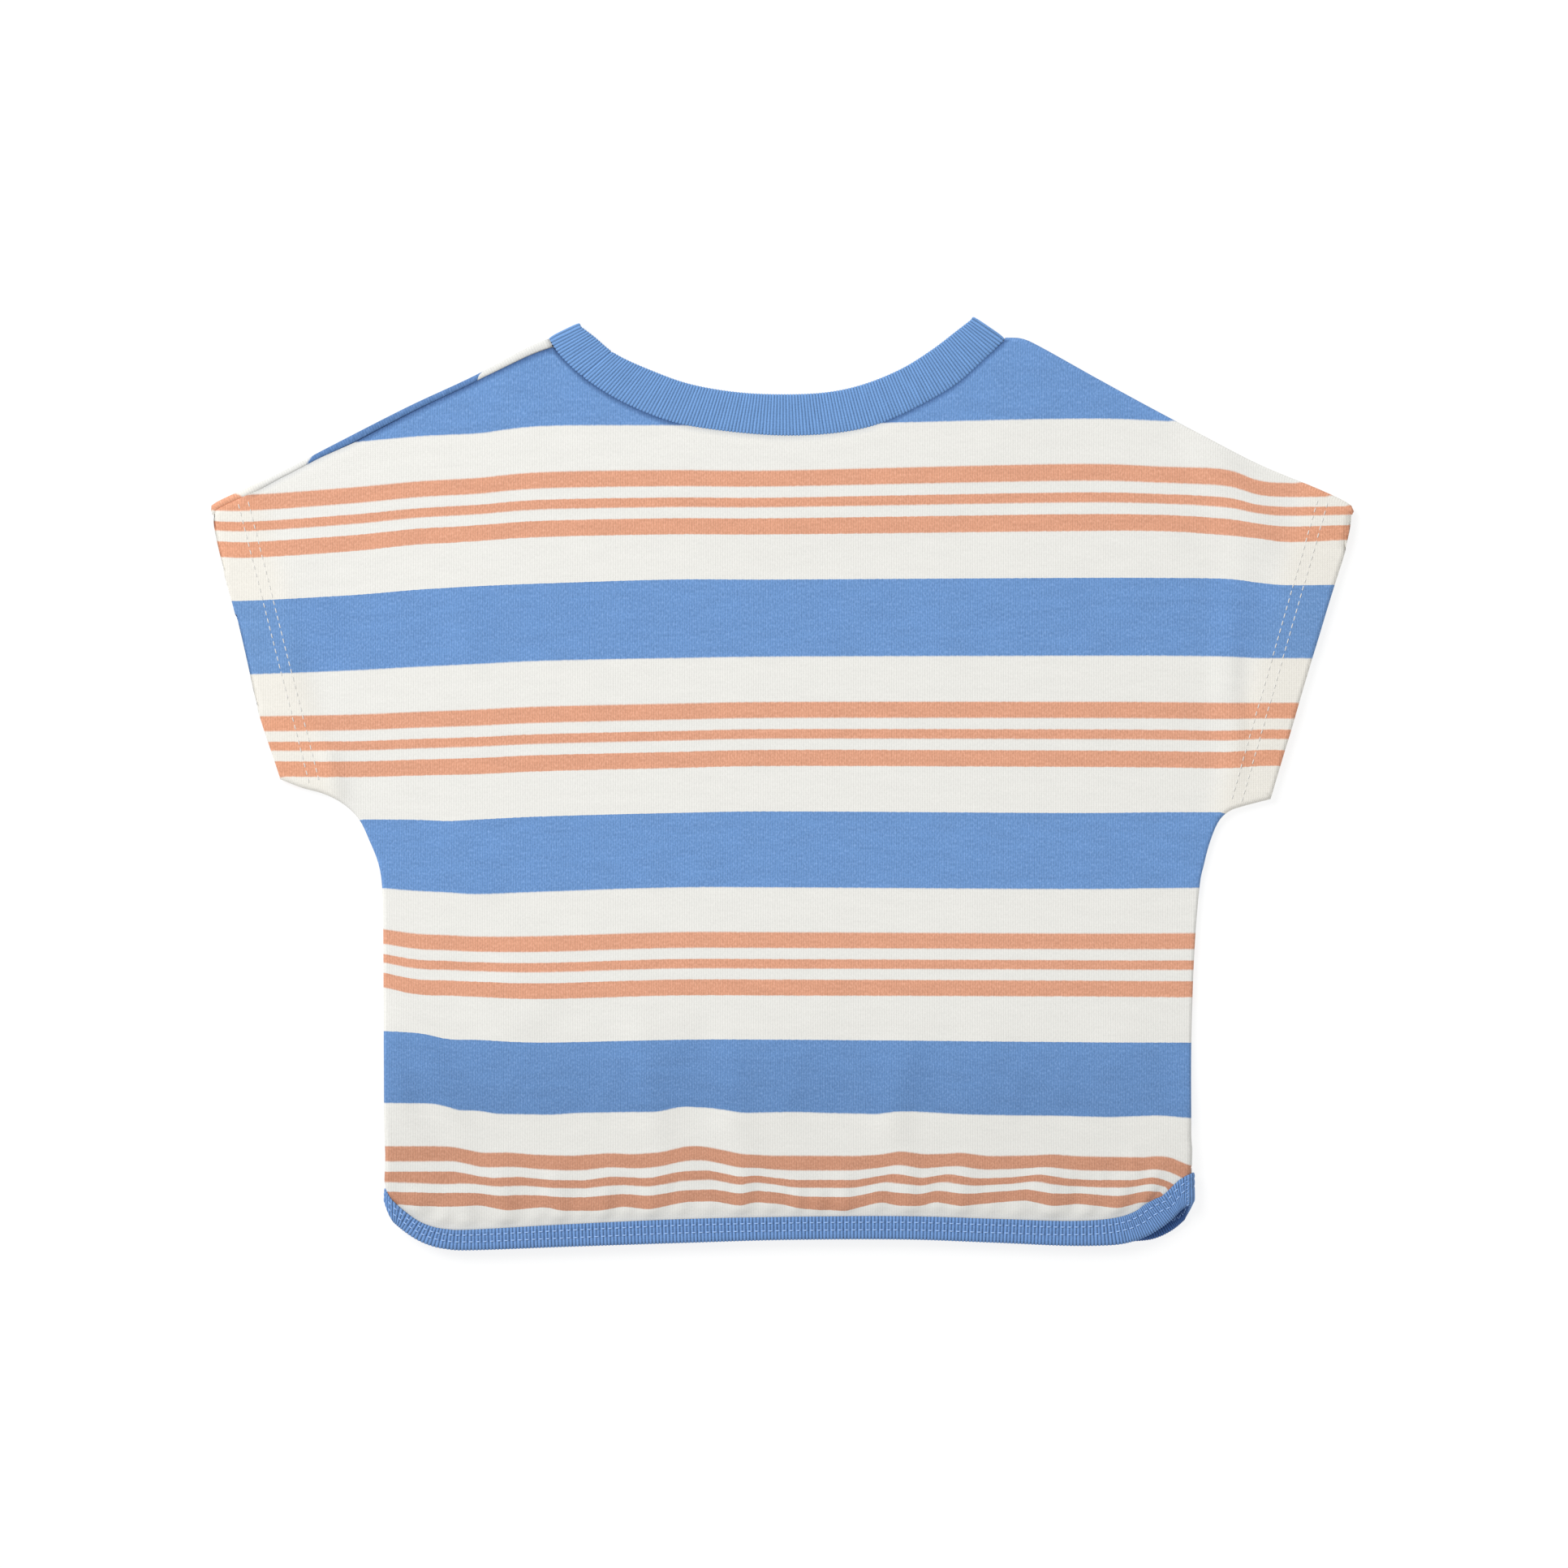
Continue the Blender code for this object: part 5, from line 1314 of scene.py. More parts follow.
def binding_section(width, inner_width):
    """Section of the U as (distance from the outer edge, distance out), one per station.

    It goes down the outside from the upper edge, round the fold, up the other outside,
    and back along the inside. Also gives where it is outside, between the stitches, at
    their rows, and on the inside of the shirt."""
    depth_from_top = leg_depths(width)
    down = width - depth_from_top
    size = narrowing(width)
    at_rows = [np.exp(-((depth_from_top - row * size) / HOLE_SIZE) ** 2) for row in STITCH_ROWS]
    trough = sum(np.exp(-((depth_from_top - row * size) / TROUGH_WIDTH) ** 2) for row in STITCH_ROWS)
    lip = LIP_DROP * np.exp(-(depth_from_top / LIP_WIDTH) ** 2)
    outer = BIND_OUT - TROUGH_DEPTH * trough - lip
    angle = np.linspace(0.0, math.pi, 2 * TURN_STEPS + 1)[None, 1:-1]
    fold = (FOLD_DEPTH * (1.0 - np.sin(angle)) + 0.0 * width, BIND_OUT * np.cos(angle) + 0.0 * width)
    near = BIND_OUT - BIND_WALL
    up_share = np.array([[0.0, 0.5, 1.0]])
    foot = FOLD_DEPTH + INSIDE_STEP
    up = foot + (width - foot) * up_share
    up_inside = foot + (inner_width - foot) * up_share
    inside = inner_width - depth_from_top * (inner_width - FOLD_DEPTH) / (width - FOLD_DEPTH)
    pocket = FOLD_DEPTH - POCKET_DEPTH + 0.0 * width
    run = np.concatenate([down, fold[0], inside[:, ::-1], up_inside[:, ::-1], pocket, pocket, up], axis=1)
    away = np.concatenate([outer, fold[1], -outer[:, ::-1], np.full(up.shape, -near),
                           np.full(width.shape, -0.5 * near), np.full(width.shape, 0.5 * near),
                           np.full(up.shape, near)], axis=1)
    outside = np.concatenate([np.ones(down.shape), np.ones(fold[0].shape), np.ones(down.shape),
                              np.zeros((len(width), 8))], axis=1)
    middle_row, half_way = sum(STITCH_ROWS) / 2, (STITCH_ROWS[1] - STITCH_ROWS[0]) / 2
    steps = depth_from_top.shape[1]
    between, holes, inner = np.zeros(run.shape), np.zeros(run.shape), np.zeros(run.shape)
    between[:, :steps] = np.exp(-((depth_from_top - middle_row * size) / half_way) ** 4)
    holes[:, :steps] = sum(at_rows)
    # The inside of the shirt is marked for a painted shade
    inner[:, steps + TURN_STEPS:2 * steps + 2 * TURN_STEPS - 1] = 1.0
    return np.stack([run, away], axis=2), outside, between, holes, inner


def make_binding():
    """The rib strip over the hem: sections edge + inwards * run + out * away, with furrows."""
    rough = binding_stations()
    stations, ribs, pairs, length = resample_ring(rough, HEM_RIB, smoothstep(*FINE_RIB_FROM, rough[:, 0]))
    ribs = ribs + 0.5
    edge, upper, out = stations[:, 0:3], stations[:, 3:6], unit(stations[:, 6:9])
    width = np.linalg.norm(upper - edge, axis=1)[:, None]
    inwards = (upper - edge) / width
    lap = INNER_LAP * smoothstep(*INNER_LAP_FROM, edge[:, 0]) * (out[:, 2] < -0.5)
    inner_width = width * (1.0 - lap[:, None])
    sections, outside, between, holes, inner = binding_section(width, inner_width)
    normals = section_normals(sections)
    to_join = np.linalg.norm(edge[:, :2] - np.array(JOIN_AT), axis=1)
    join_at = np.argmin(np.where(out[:, 2] > 0.5, to_join, 1e9))
    past_join = (pairs - pairs[join_at]) * 2 * HEM_RIB
    smooth = 1.0 - SMOOTH_SHARE * (past_join > 0.0) * (past_join < SMOOTH_PAST_JOIN)
    cut = HEM_RIB_DEPTH * (furrows(ribs) * smooth)[:, None] * outside
    at_pair = np.abs(np.cos(math.pi * pairs)) ** PAIR_POWER
    cut = cut + at_pair[:, None] * (PAIR_DEPTH * between + HOLE_DEPTH * holes)
    cut = cut + JOIN_DEPTH * np.exp(-(past_join / JOIN_WIDTH) ** 2)[:, None] * outside
    sections = sections + normals * cut[..., None]
    points = edge[:, None] + inwards[:, None] * sections[..., 0:1] + out[:, None] * sections[..., 1:2]
    round_run = np.append(0.0, np.cumsum(np.linalg.norm(np.diff(sections[0], axis=0), axis=1)))
    piece = ring_mesh("hem_rib", points, ribs, round_run)
    # Painted shade on the inside of the binding
    store_values(piece, "shade", inner)
    return piece, length, (edge, inwards, out, width, inner_width, pairs), join_at


binding, hem_length, hem_frame, hem_join = make_binding()
for piece in (neckband, binding):
    piece.data.calc_loop_triangles()
    print(piece.name, "has", len(piece.data.loop_triangles), "triangles")
print(f"the binding is {hem_length:.0f} mm round")

# %% [markdown]
# ## Stitches
#
# A stitch is a short length of thread that comes up out of the cloth, lies on it and
# goes down again. Each is a small tube bent into a low arch: its middle rises by a
# parabola, and its radius shrinks towards both ends. All the stitches of a row are one
# mesh, made from arrays of their middles, directions and normals.

# %% Stitch shapes
THREAD_RINGS = 7
THREAD_SIDES = 6
THREAD_TAPER = 1.02


def stitch_mesh(name, centres, ways, normals, length, radius, rise):
    """One mesh of many stitches: an arch 1 - t^2 high, t from -1 to 1 along its length.

    Length and radius are one number for all, or one for each stitch."""
    lengths = (length + np.zeros(len(centres)))[:, None, None, None]
    radii = (radius + np.zeros(len(centres)))[:, None, None, None]
    t = np.linspace(-1.0, 1.0, THREAD_RINGS)
    angle = 2 * math.pi * np.arange(THREAD_SIDES) / THREAD_SIDES
    size = np.sqrt(np.clip(THREAD_TAPER - t ** 4, 0.0, 1.0))
    sideways = unit(np.cross(normals, ways))
    forward = (t[:, None] / 2 + 0.0 * angle)[None, ..., None] * lengths
    right = (size[:, None] * np.cos(angle))[None, ..., None] * radii
    arch = (rise * (1.0 - t[:, None] ** 2) + 0.0 * angle)[None, ..., None]
    upward = arch + (size[:, None] * np.sin(angle))[None, ..., None] * radii
    points = (centres[:, None, None] + ways[:, None, None] * forward
              + sideways[:, None, None] * right + normals[:, None, None] * upward)
    per_stitch = THREAD_RINGS * THREAD_SIDES
    ring = np.arange(THREAD_SIDES)
    start = np.arange(THREAD_RINGS - 1)[:, None] * THREAD_SIDES
    a, b = start + ring, start + (ring + 1) % THREAD_SIDES
    quads = np.stack([a, b, b + THREAD_SIDES, a + THREAD_SIDES], axis=2).reshape(-1, 4)
    offsets = np.arange(len(centres)) * per_stitch
    quads = (quads[None] + offsets[:, None, None]).reshape(-1, 4)
    first = ring[None, ::-1] + offsets[:, None]
    last = (per_stitch - THREAD_SIDES + ring)[None] + offsets[:, None]
    return fill_mesh(name, points.reshape(-1, 3), quads.tolist() + first.tolist() + last.tolist())


print("one stitch has", 2 * THREAD_SIDES * (THREAD_RINGS - 1), "side triangles")

# %% [markdown]
# The sleeve ends are held by two rows of off-white stitches, which run on from the back
# to the front. They show best where they cross the blue stripe.

# %% Cuff stitches
CUFF_ROWS = (10.1, 14.0)
CUFF_PITCH = 3.0
CUFF_STITCH = 2.1
CUFF_THREAD = 0.20
CUFF_ARCH = 0.10
CUFF_SINK = {"back": 0.04, "front": 0.16}
PAST_CUFF = (-3.0, 1.0)


def cuff_rows():
    """Middles, directions and normals of all cuff stitches, on the back and on the front."""
    middles, ways, normals = [], [], []
    for side in (-1, 1):
        corner, tip = cuff_line(side)
        way, inwards = cuff_ways(side)
        size = np.linalg.norm(tip - corner)
        for depth in CUFF_ROWS:
            run = np.arange(PAST_CUFF[0], size + PAST_CUFF[1], CUFF_PITCH)
            place = corner + way * run[:, None] + inwards * depth
            for layer, sign in (("back", 1), ("front", -1)):
                height = surface(layer, place[:, 0], place[:, 1])
                height = height + sign * (wall(place[:, 0], place[:, 1]) / 2 - CUFF_SINK[layer])
                middles.append(np.column_stack([place, height]))
                ways.append(np.tile(np.append(way, 0.0), (len(run), 1)))
                normals.append(np.tile((0.0, 0.0, float(sign)), (len(run), 1)))
    return np.vstack(middles), np.vstack(ways), np.vstack(normals)


cuff_stitches = stitch_mesh("cuff_stitches", *cuff_rows(), CUFF_STITCH, CUFF_THREAD, CUFF_ARCH)
print("cuff stitches:", len(cuff_stitches.data.polygons), "faces")

# %% [markdown]
# The binding is held by two rows of lighter blue stitches on the outside. On the inside
# of the shirt the same seam shows as loops that cross from row to row. Round the two side
# folds the dashes are hidden in the bend, so those are left out.

# %% Binding stitches
HEM_STITCH = 1.85
HEM_THREAD = 0.24
HEM_ARCH = 0.16
LOOP_STITCH = 1.6
LOOP_THREAD = 0.13
LOOP_LEAN = 0.55
LOOP_START = 0.25
FLAT_ENOUGH = 0.8
JOIN_STITCH = 0.9
JOIN_THREAD = 0.17
JOIN_THREAD_SINK = 0.1
JOIN_ROW = 0.75
JOIN_ROW_ENDS = (1.2, 0.6)
JOIN_PITCH = 1.5
JOIN_LEAN = 0.3
NEARBY = 0.1


def at_pairs(line, wanted):
    """Values of a line round the hem at the given numbers of pairs of ribs."""
    pairs = hem_frame[-1]
    return np.stack([np.interp(wanted, pairs, column, period=round(pairs[-1])) for column in line.T], axis=1)


def binding_line(depth, sign):
    """The line on the binding at a depth below its upper edge, outside (1) or inside (-1)."""
    edge, inwards, out, width, inner_width, _ = hem_frame
    run = width - depth * narrowing(width)
    if sign < 0:
        run = run * inner_width / width
    return edge + inwards * run + out * sign * (BIND_OUT - TROUGH_DEPTH), out * sign


def way_along(line, wanted):
    """Unit directions of a line round the hem at the given numbers of pairs of ribs."""
    return unit(at_pairs(line, wanted + NEARBY) - at_pairs(line, wanted - NEARBY))


def binding_rows():
    """Middles, directions, normals, lengths and radii of the dashes, loops and join stitches."""
    middles, ways, normals = [], [], []
    count = round(hem_frame[-1][-1])
    dashes = 0
    for row in STITCH_ROWS:
        line, out = binding_line(row, 1)
        wanted = np.arange(count) + 0.5
        wanted = wanted[np.abs(at_pairs(out, wanted)[:, 2]) > FLAT_ENOUGH]
        dashes += len(wanted)
        middles.append(at_pairs(line, wanted))
        normals.append(unit(at_pairs(out, wanted)))
        ways.append(way_along(line, wanted))
    upper, out = binding_line(STITCH_ROWS[0], -1)
    lower, _ = binding_line(STITCH_ROWS[1], -1)
    wanted = np.arange(2 * count) / 2 + LOOP_START
    lean = np.where(np.arange(2 * count) % 2 == 0, 1.0, -1.0)[:, None]
    middles.append(at_pairs((upper + lower) / 2, wanted))
    normals.append(unit(at_pairs(out, wanted)))
    ways.append(unit(way_along(upper, wanted) * LOOP_LEAN + unit(at_pairs(lower - upper, wanted)) * lean))

    edge, inwards, out, width = (part[hem_join] for part in hem_frame[:4])
    beside = np.cross(inwards, out)
    down = np.arange(JOIN_ROW_ENDS[0], width[0] - JOIN_ROW_ENDS[1], JOIN_PITCH)[:, None]
    middles.append(edge + inwards * down + beside * JOIN_ROW + out * (BIND_OUT - JOIN_THREAD_SINK))
    ways.append(np.tile(unit(beside + JOIN_LEAN * inwards), (len(down), 1)))
    normals.append(np.tile(out, (len(down), 1)))
    counts = (dashes, 2 * count, len(down))
    lengths = np.repeat((HEM_STITCH, LOOP_STITCH, JOIN_STITCH), counts)
    radii = np.repeat((HEM_THREAD, LOOP_THREAD, JOIN_THREAD), counts)
    return np.vstack(middles), np.vstack(ways), np.vstack(normals), lengths, radii


hem_stitches = stitch_mesh("hem_stitches", *binding_rows(), HEM_ARCH)
print("binding stitches:", len(hem_stitches.data.polygons), "faces")

# %% [markdown]
# ## Finishes
#
# Matt cotton has almost no gloss, a faint bloom at grazing angles, and a grain: rows of
# small V-shaped loops. The grain is too fine for mesh, at eleven wales to a centimetre, so
# it is bump. Its colour is not even either: a dyed yarn lets lighter flecks through, the
# blue and the orange more than the cream.

# %% Node helpers
KNIT_RELIEF = 0.00012
SPECULAR = 0.18
SHEEN = 0.06
SHEEN_ROUGHNESS = 0.5


def new_material(name, roughness):
    """A node material with a matt shader; gives the material, its tree and its shader."""
    material = bpy.data.materials.new(name)
    material.use_nodes = True
    shader = material.node_tree.nodes["Principled BSDF"]
    shader.inputs["Roughness"].default_value = roughness
    shader.inputs["Specular IOR Level"].default_value = SPECULAR
    shader.inputs["Sheen Weight"].default_value = SHEEN
    shader.inputs["Sheen Roughness"].default_value = SHEEN_ROUGHNESS
    return material, material.node_tree, shader


def add_node(tree, kind, inputs, **settings):
    """A node with its settings; inputs gives a value or a socket to link, by name or place."""
    node = tree.nodes.new(kind)
    for key, value in settings.items():
        setattr(node, key, value)
    for key, value in inputs.items():
        if isinstance(value, bpy.types.NodeSocket):
            tree.links.new(value, node.inputs[key])
        else:
            node.inputs[key].default_value = value
    return node


def calc(tree, operation, first, second=0.0, third=0.0):
    """The result of a Math node; MULTIPLY_ADD gives first * second + third."""
    inputs = {0: first, 1: second, 2: third}
    return add_node(tree, "ShaderNodeMath", inputs, operation=operation).outputs[0]


def mixed(tree, blend, factor, first, second):
    """The colour of a Mix node."""
    inputs = {0: factor, 6: first, 7: second}
    return add_node(tree, "ShaderNodeMix", inputs, data_type="RGBA", blend_type=blend).outputs[2]


def vector(tree, x, y, z=0.0):
    """A vector put together from three numbers or sockets."""
    return add_node(tree, "ShaderNodeCombineXYZ", {0: x, 1: y, 2: z}).outputs[0]


def grey(tree, value):
    """A grey of the given brightness, to multiply a colour by."""
    return add_node(tree, "ShaderNodeCombineColor", {0: value, 1: value, 2: value}).outputs[0]


def noise(tree, place, scale, detail=2.0):
    """The value of a noise texture, less its mean of a half."""
    inputs = {"Vector": place, "Scale": scale, "Detail": detail}
    return calc(tree, "SUBTRACT", add_node(tree, "ShaderNodeTexNoise", inputs).outputs[0], 0.5)


def vertex_value(tree, title):
    """The number that a piece keeps for each vertex under a title."""
    return add_node(tree, "ShaderNodeAttribute", {}, attribute_name=title).outputs["Fac"]


def bump(tree, shader, strength, height):
    """Fine relief on a shader, of KNIT_RELIEF times a height."""
    inputs = {"Strength": strength, "Distance": KNIT_RELIEF, "Height": height}
    tree.links.new(add_node(tree, "ShaderNodeBump", inputs).outputs[0], shader.inputs["Normal"])


# %% [markdown]
# ### Striped jersey
#
# The stripes are a colour ramp over the fraction of the repeat. Each edge is two stops a
# third of a millimetre apart, so it is soft by about one loop. The ramp's alpha says how
# much of the light flecks shows in that colour. A painted shade darkens the colours down the
# cloth towards the hem, the blue and the orange most. The turned-in sleeve ends let less
# light through from below, and look a little warmer.

# %% Jersey
BLUE = (0.143, 0.284, 0.563)
ORANGE = (0.690, 0.337, 0.215)
CREAM = (0.765, 0.758, 0.722)
FLECKS = {BLUE: 0.55, ORANGE: 0.50, CREAM: 0.15}

# Stripes down one repeat: width in mm, colour
STRIPES = ((29.4, BLUE), (17.4, CREAM), (6.2, ORANGE), (4.3, CREAM), (3.7, ORANGE), (4.3, CREAM),
           (6.2, ORANGE), (17.2, CREAM))
EDGE_SOFTNESS = 0.16
PALE_FIBRE = (0.80, 0.80, 0.80, 1.0)
# Colour that the painted shade of seams, the hem corner and the shoulder strip multiplies by
PAINTED_SHADE_TINT = (0.30, 0.34, 0.42, 1.0)
WALE = 0.91
COURSE = 0.79
LOOP_SLANT = 1.2
LOOP_SHARE = 0.25
RIDGE_MEAN = 0.64
JERSEY_ROUGHNESS = 0.92
JERSEY_BUMP = 0.35
STRIPE_JITTER = 0.004
JITTER_SCALE = 55.0
PALE_SHARE = 0.45
GRAIN_LIGHT = 1.3
GRAIN_SCALE = 1.3
GRAIN_SQUASH = 0.6
CLOUD_SCALE = 6.0
CLOUD_SQUASH = 4.0
CLOUD_DETAIL = 4.0
# Painted shade towards the hem: where down the cloth, in repeats, it grows
HEM_PAINTED_SHADE_DOWN = (1.6, 2.85)
WARMER = (1.03, 1.0, 0.955, 1.0)
WARMER_SHARE = 0.8

# How strong each effect is: for each unit of a colour's fleck share, and in every colour
CLOUDY = (0.34, 0.03)
FURROW_SHADE = (0.22, 0.06)
# The next row is the strength of the painted shade towards the hem
HEM_PAINTED_SHADE = (0.45, 0.02)
SEAM_SHADE = (1.7, 0.1)


def stripe_ramp(tree, phase):
    """Colour and fleck share of the stripes at a phase of the repeat, from 0 to 1."""
    ramp = add_node(tree, "ShaderNodeValToRGB", {"Fac": phase})
    stops = []
    start = 0.0
    for number, (width, colour) in enumerate(STRIPES):
        fleck = (*colour, FLECKS[colour])
        if number > 0:
            stops.append(((start + EDGE_SOFTNESS) / REPEAT, fleck))
        start += width
        stops.append(((start - EDGE_SOFTNESS) / REPEAT, fleck))
    elements = ramp.color_ramp.elements
    elements[0].position, elements[0].color = stops[0]
    elements[1].position, elements[1].color = stops[-1]
    for position, colour in stops[1:-1]:
        elements.new(position).color = colour
    return ramp.outputs["Color"], ramp.outputs["Alpha"]


def knit_height(tree, wales, courses):
    """A knit's ridges |sin| of the wales, and on them the height of V-shaped loops."""
    ridge = calc(tree, "ABSOLUTE", calc(tree, "SINE", calc(tree, "MULTIPLY", wales, math.pi)))
    in_wale = calc(tree, "ABSOLUTE", calc(tree, "SUBTRACT", calc(tree, "FRACT", wales), 0.5))
    slanted = calc(tree, "MULTIPLY_ADD", in_wale, LOOP_SLANT, courses)
    loop = calc(tree, "SINE", calc(tree, "MULTIPLY", slanted, 2 * math.pi))
    return ridge, calc(tree, "MULTIPLY_ADD", loop, LOOP_SHARE, ridge)


def jersey_brightness(tree, across, down, light, ridge, fleck):
    """Brightness of the colour: 1, with its grain and clouds, painted shade in the furrows and towards the
    hem.
    """
    place = vector(tree, across, calc(tree, "MULTIPLY", down, CLOUD_SQUASH))
    cloudy = calc(tree, "MULTIPLY", noise(tree, place, CLOUD_SCALE, CLOUD_DETAIL),
                  calc(tree, "MULTIPLY_ADD", fleck, *CLOUDY))
    # Painted shade: the colour is darker in the furrows between the wales
    furrow = calc(tree, "MULTIPLY", calc(tree, "SUBTRACT", ridge, RIDGE_MEAN),
                  calc(tree, "MULTIPLY_ADD", fleck, *FURROW_SHADE))
    bright = calc(tree, "MULTIPLY_ADD", light, GRAIN_LIGHT, 1.0)
    bright = calc(tree, "ADD", bright, calc(tree, "ADD", cloudy, furrow))
    # Painted shade: the colour darkens down the cloth towards the hem
    near_hem = add_node(tree, "ShaderNodeMapRange",
                        {"Value": down, "From Min": HEM_PAINTED_SHADE_DOWN[0], "From Max": HEM_PAINTED_SHADE_DOWN[1]},
                        interpolation_type="SMOOTHSTEP").outputs[0]
    hem_shade = calc(tree, "MULTIPLY", near_hem, calc(tree, "MULTIPLY_ADD", fleck, *HEM_PAINTED_SHADE))
    return calc(tree, "MULTIPLY", bright, calc(tree, "SUBTRACT", 1.0, hem_shade))


def jersey_material():
    """Striped jersey on the cut coordinates, which count in repeats."""
    material, tree, shader = new_material("striped_jersey", JERSEY_ROUGHNESS)
    place = add_node(tree, "ShaderNodeUVMap", {}, uv_map="cut").outputs[0]
    parts = add_node(tree, "ShaderNodeSeparateXYZ", {0: place})
    across, down = parts.outputs[0], parts.outputs[1]
    wales = calc(tree, "MULTIPLY", across, REPEAT / WALE)
    courses = calc(tree, "MULTIPLY", down, REPEAT / COURSE)
    ridge, height = knit_height(tree, wales, courses)

    shifted = calc(tree, "MULTIPLY_ADD", noise(tree, place, JITTER_SCALE, 1.0), STRIPE_JITTER, down)
    colour, fleck = stripe_ramp(tree, calc(tree, "FRACT", shifted))
    yarn = vector(tree, wales, calc(tree, "MULTIPLY", courses, GRAIN_SQUASH))
    light = calc(tree, "MULTIPLY", noise(tree, yarn, GRAIN_SCALE, 3.0), fleck)
    pale = calc(tree, "MAXIMUM", calc(tree, "MULTIPLY", light, PALE_SHARE), 0.0)
    colour = mixed(tree, "MIX", pale, colour, PALE_FIBRE)
    bright = jersey_brightness(tree, across, down, light, ridge, fleck)
    colour = mixed(tree, "MULTIPLY", 1.0, colour, grey(tree, bright))

    # Painted shade from the panels' shade values, weaker on the cream
    painted_shade_strength = calc(tree, "MINIMUM", calc(tree, "MULTIPLY_ADD", fleck, *SEAM_SHADE), 1.0)
    painted_shade = calc(tree, "MULTIPLY", vertex_value(tree, "shade"), painted_shade_strength)
    colour = mixed(tree, "MULTIPLY", painted_shade, colour, PAINTED_SHADE_TINT)
    turned_in = calc(tree, "MULTIPLY", vertex_value(tree, "doubled"), WARMER_SHARE)
    colour = mixed(tree, "MULTIPLY", turned_in, colour, WARMER)
    tree.links.new(colour, shader.inputs["Base Color"])
    bump(tree, shader, JERSEY_BUMP, height)
    return material


jersey = jersey_material()
print("stripes in one repeat:", len(STRIPES), "over", round(sum(row[0] for row in STRIPES), 1), "mm")

# %% [markdown]
# ### Rib and thread
#
# The furrows of the rib are in the mesh, but yarn shades itself more than a smooth mesh
# does, so a painted shade darkens the colour a little in them too. The inside of the binding
# is darkened by a painted shade as well. Across the ribs run the rows of loops, as bump.
# Sewing thread is twisted, which shows as slanting bands of painted shade.

# %% Rib and thread
NECK_BLUE = (0.168, 0.330, 0.640)
HEM_BLUE = (0.165, 0.310, 0.610)
LIGHT_BLUE_THREAD = (0.35, 0.54, 0.88)
INSIDE_PAINTED_SHADE = (0.35, 0.44, 0.60, 1.0)
OFF_WHITE_THREAD = (0.78, 0.77, 0.74)
RIB_ROUGHNESS = 0.9
RIB_BUMP = 0.3
RIB_LIGHT = 1.05
LOOP_RELIEF = 0.4
SPECKLE = 0.5
SPECKLE_SCALE = 2.2
STREAK = 0.3
STREAK_SCALE = 2.3
STREAK_SQUASH = 0.08
STREAK_SLICE = 5.0
FURROW_POWER = 1.2
NECK_FURROW_DARK = 0.60
HEM_FURROW_DARK = 0.75
THREAD_ROUGHNESS = 0.7
THREAD_SHADE = 0.82
TWIST_SCALE = 900.0
TWIST_DISTORTION = 0.6


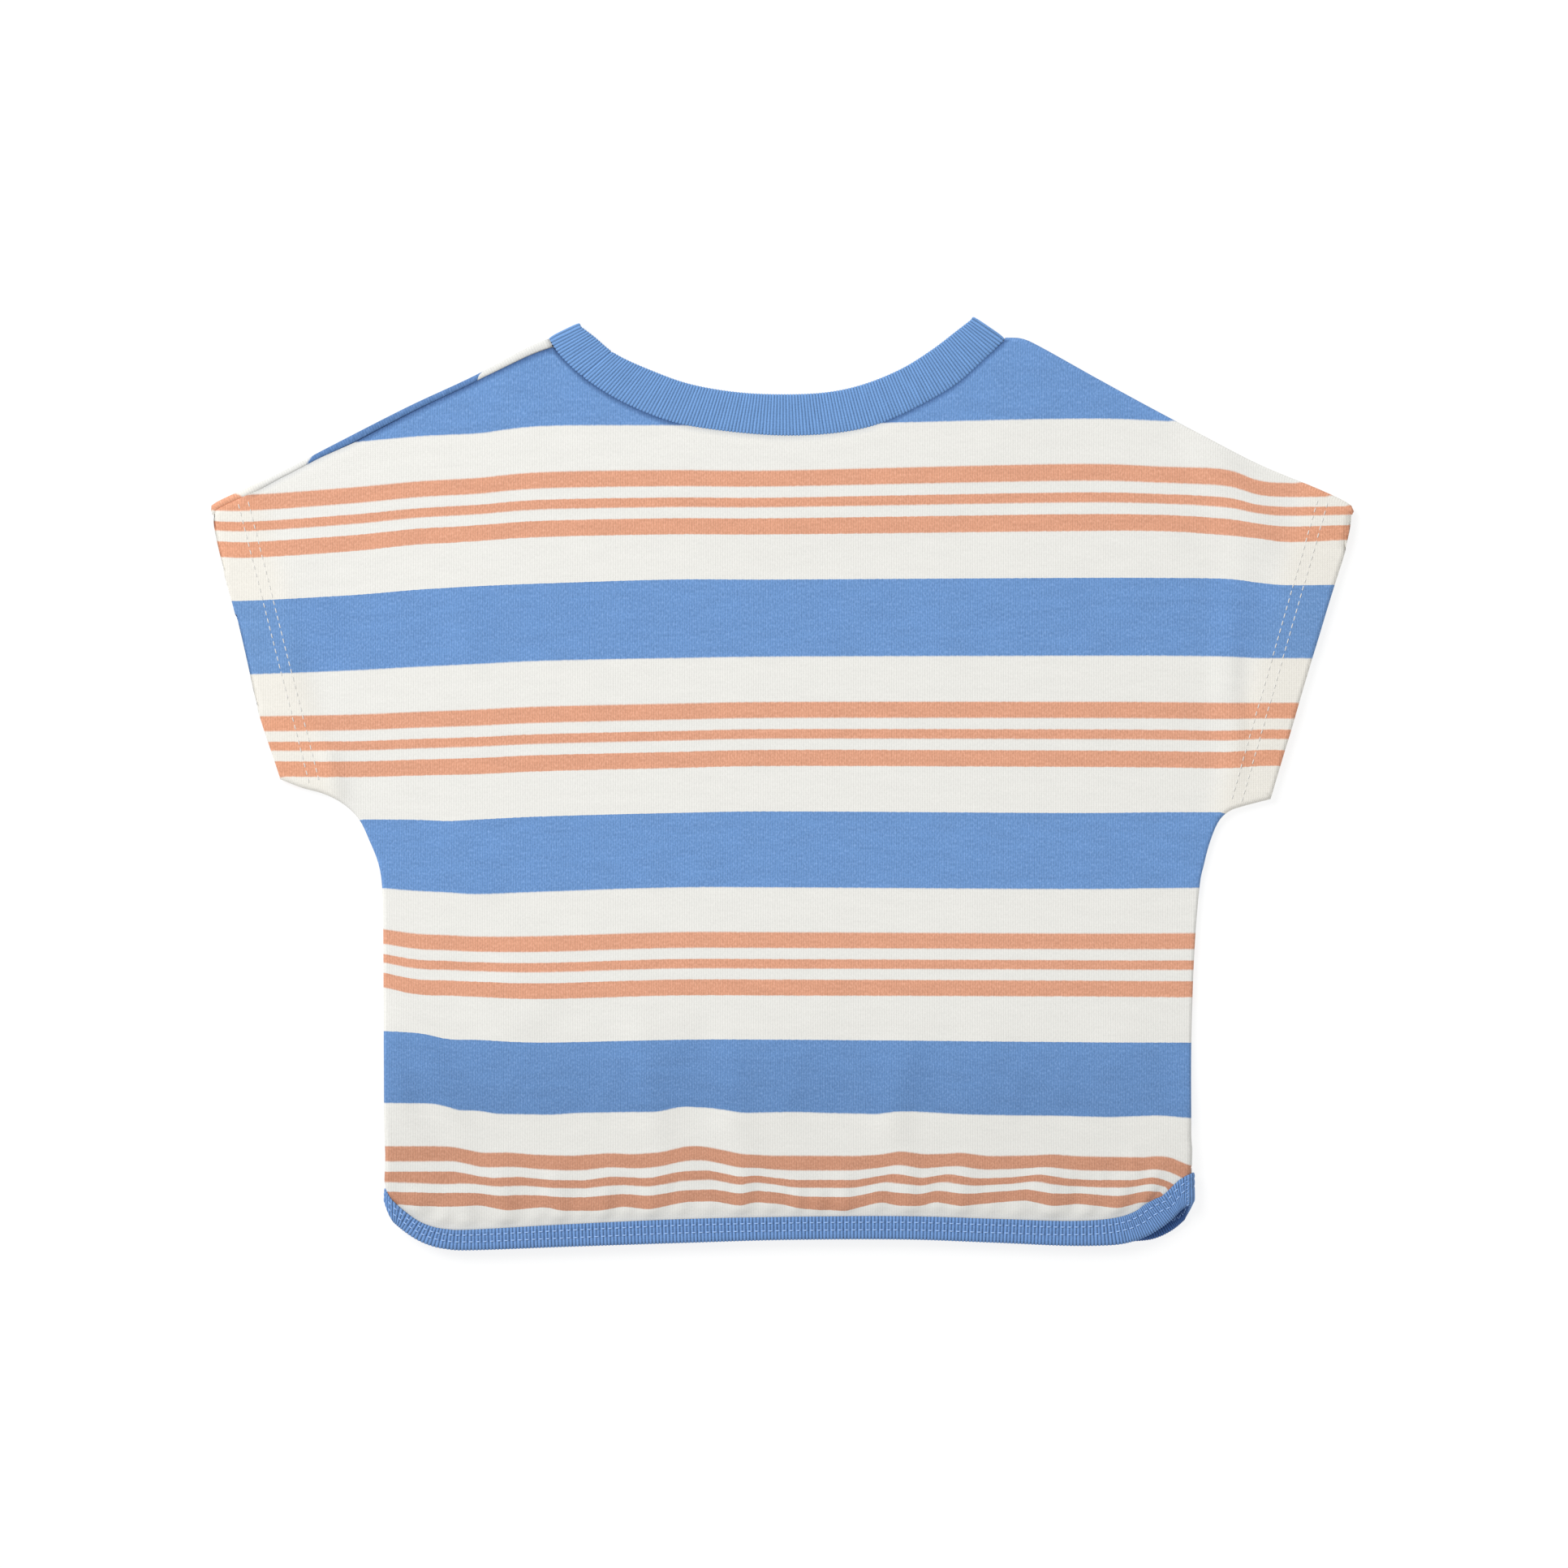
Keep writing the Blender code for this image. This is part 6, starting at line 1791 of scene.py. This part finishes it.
def rib_material(name, colour, dark):
    """Rib knit on coordinates that count ribs one way and millimetres the other."""
    material, tree, shader = new_material(name, RIB_ROUGHNESS)
    place = add_node(tree, "ShaderNodeUVMap", {}, uv_map="cut").outputs[0]
    parts = add_node(tree, "ShaderNodeSeparateXYZ", {0: place})
    ribs, run = parts.outputs[0], parts.outputs[1]
    ridge = calc(tree, "ABSOLUTE", calc(tree, "COSINE", calc(tree, "MULTIPLY", ribs, math.pi)))
    furrow = calc(tree, "POWER", calc(tree, "SUBTRACT", 1.0, ridge), FURROW_POWER)
    loops = calc(tree, "SINE", calc(tree, "MULTIPLY", run, 2 * math.pi / COURSE))
    grain = noise(tree, vector(tree, ribs, run), SPECKLE_SCALE)
    lengthways = vector(tree, ribs, calc(tree, "MULTIPLY", run, STREAK_SQUASH), STREAK_SLICE)
    streak = noise(tree, lengthways, STREAK_SCALE, 1.0)
    shade = calc(tree, "MULTIPLY_ADD", grain, SPECKLE, RIB_LIGHT)
    shade = calc(tree, "MULTIPLY_ADD", streak, STREAK, shade)
    # Painted shade: the colour is darker in the furrows between the ribs
    shade = calc(tree, "MULTIPLY_ADD", furrow, -dark, shade)
    paint = mixed(tree, "MULTIPLY", 1.0, (*colour, 1.0), grey(tree, shade))
    # Painted shade on the inside of the binding
    paint = mixed(tree, "MULTIPLY", vertex_value(tree, "shade"), paint, INSIDE_PAINTED_SHADE)
    tree.links.new(paint, shader.inputs["Base Color"])
    bump(tree, shader, RIB_BUMP, calc(tree, "MULTIPLY_ADD", loops, LOOP_RELIEF, grain))
    return material


def thread_material(name, colour):
    """Twisted thread: slanting bands of painted shade on object coordinates."""
    material, tree, shader = new_material(name, THREAD_ROUGHNESS)
    place = add_node(tree, "ShaderNodeTexCoord", {}).outputs["Object"]
    inputs = {"Vector": place, "Scale": TWIST_SCALE, "Distortion": TWIST_DISTORTION}
    bands = add_node(tree, "ShaderNodeTexWave", inputs, bands_direction="DIAGONAL").outputs["Fac"]
    # Painted shade: the darker bands of the twist
    shaded = tuple(THREAD_SHADE * channel for channel in colour)
    shade = mixed(tree, "MIX", bands, (*shaded, 1.0), (*colour, 1.0))
    tree.links.new(shade, shader.inputs["Base Color"])
    return material


back_panel.data.materials.append(jersey)
front_panel.data.materials.append(jersey)
neckband.data.materials.append(rib_material("neck_rib", NECK_BLUE, NECK_FURROW_DARK))
binding.data.materials.append(rib_material("hem_rib", HEM_BLUE, HEM_FURROW_DARK))
cuff_stitches.data.materials.append(thread_material("off_white_thread", OFF_WHITE_THREAD))
hem_stitches.data.materials.append(thread_material("light_blue_thread", LIGHT_BLUE_THREAD))
print("materials:", sorted(m.name for m in bpy.data.materials))

# %% [markdown]
# ## The pieces on their body
#
# Each surface stands for one cut piece of the imported model and rides on its one body.
# The panels and strips are sheets of cloth.

# %% Bodies
for piece, node, slot in ((back_panel, "back_panel", "striped_jersey"),
                          (front_panel, "front_panel", "striped_jersey"),
                          (neckband, "neckband", "blue_rib"),
                          (binding, "hem_binding", "blue_rib")):
    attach(piece, "root")
    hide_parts(node)
for piece, slot in ((cuff_stitches, "striped_jersey"), (hem_stitches, "blue_rib")):
    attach(piece, "root")

# %% Sizes
print("packed model", [round(float(c), 4) for corner in cad_bounds for c in corner])
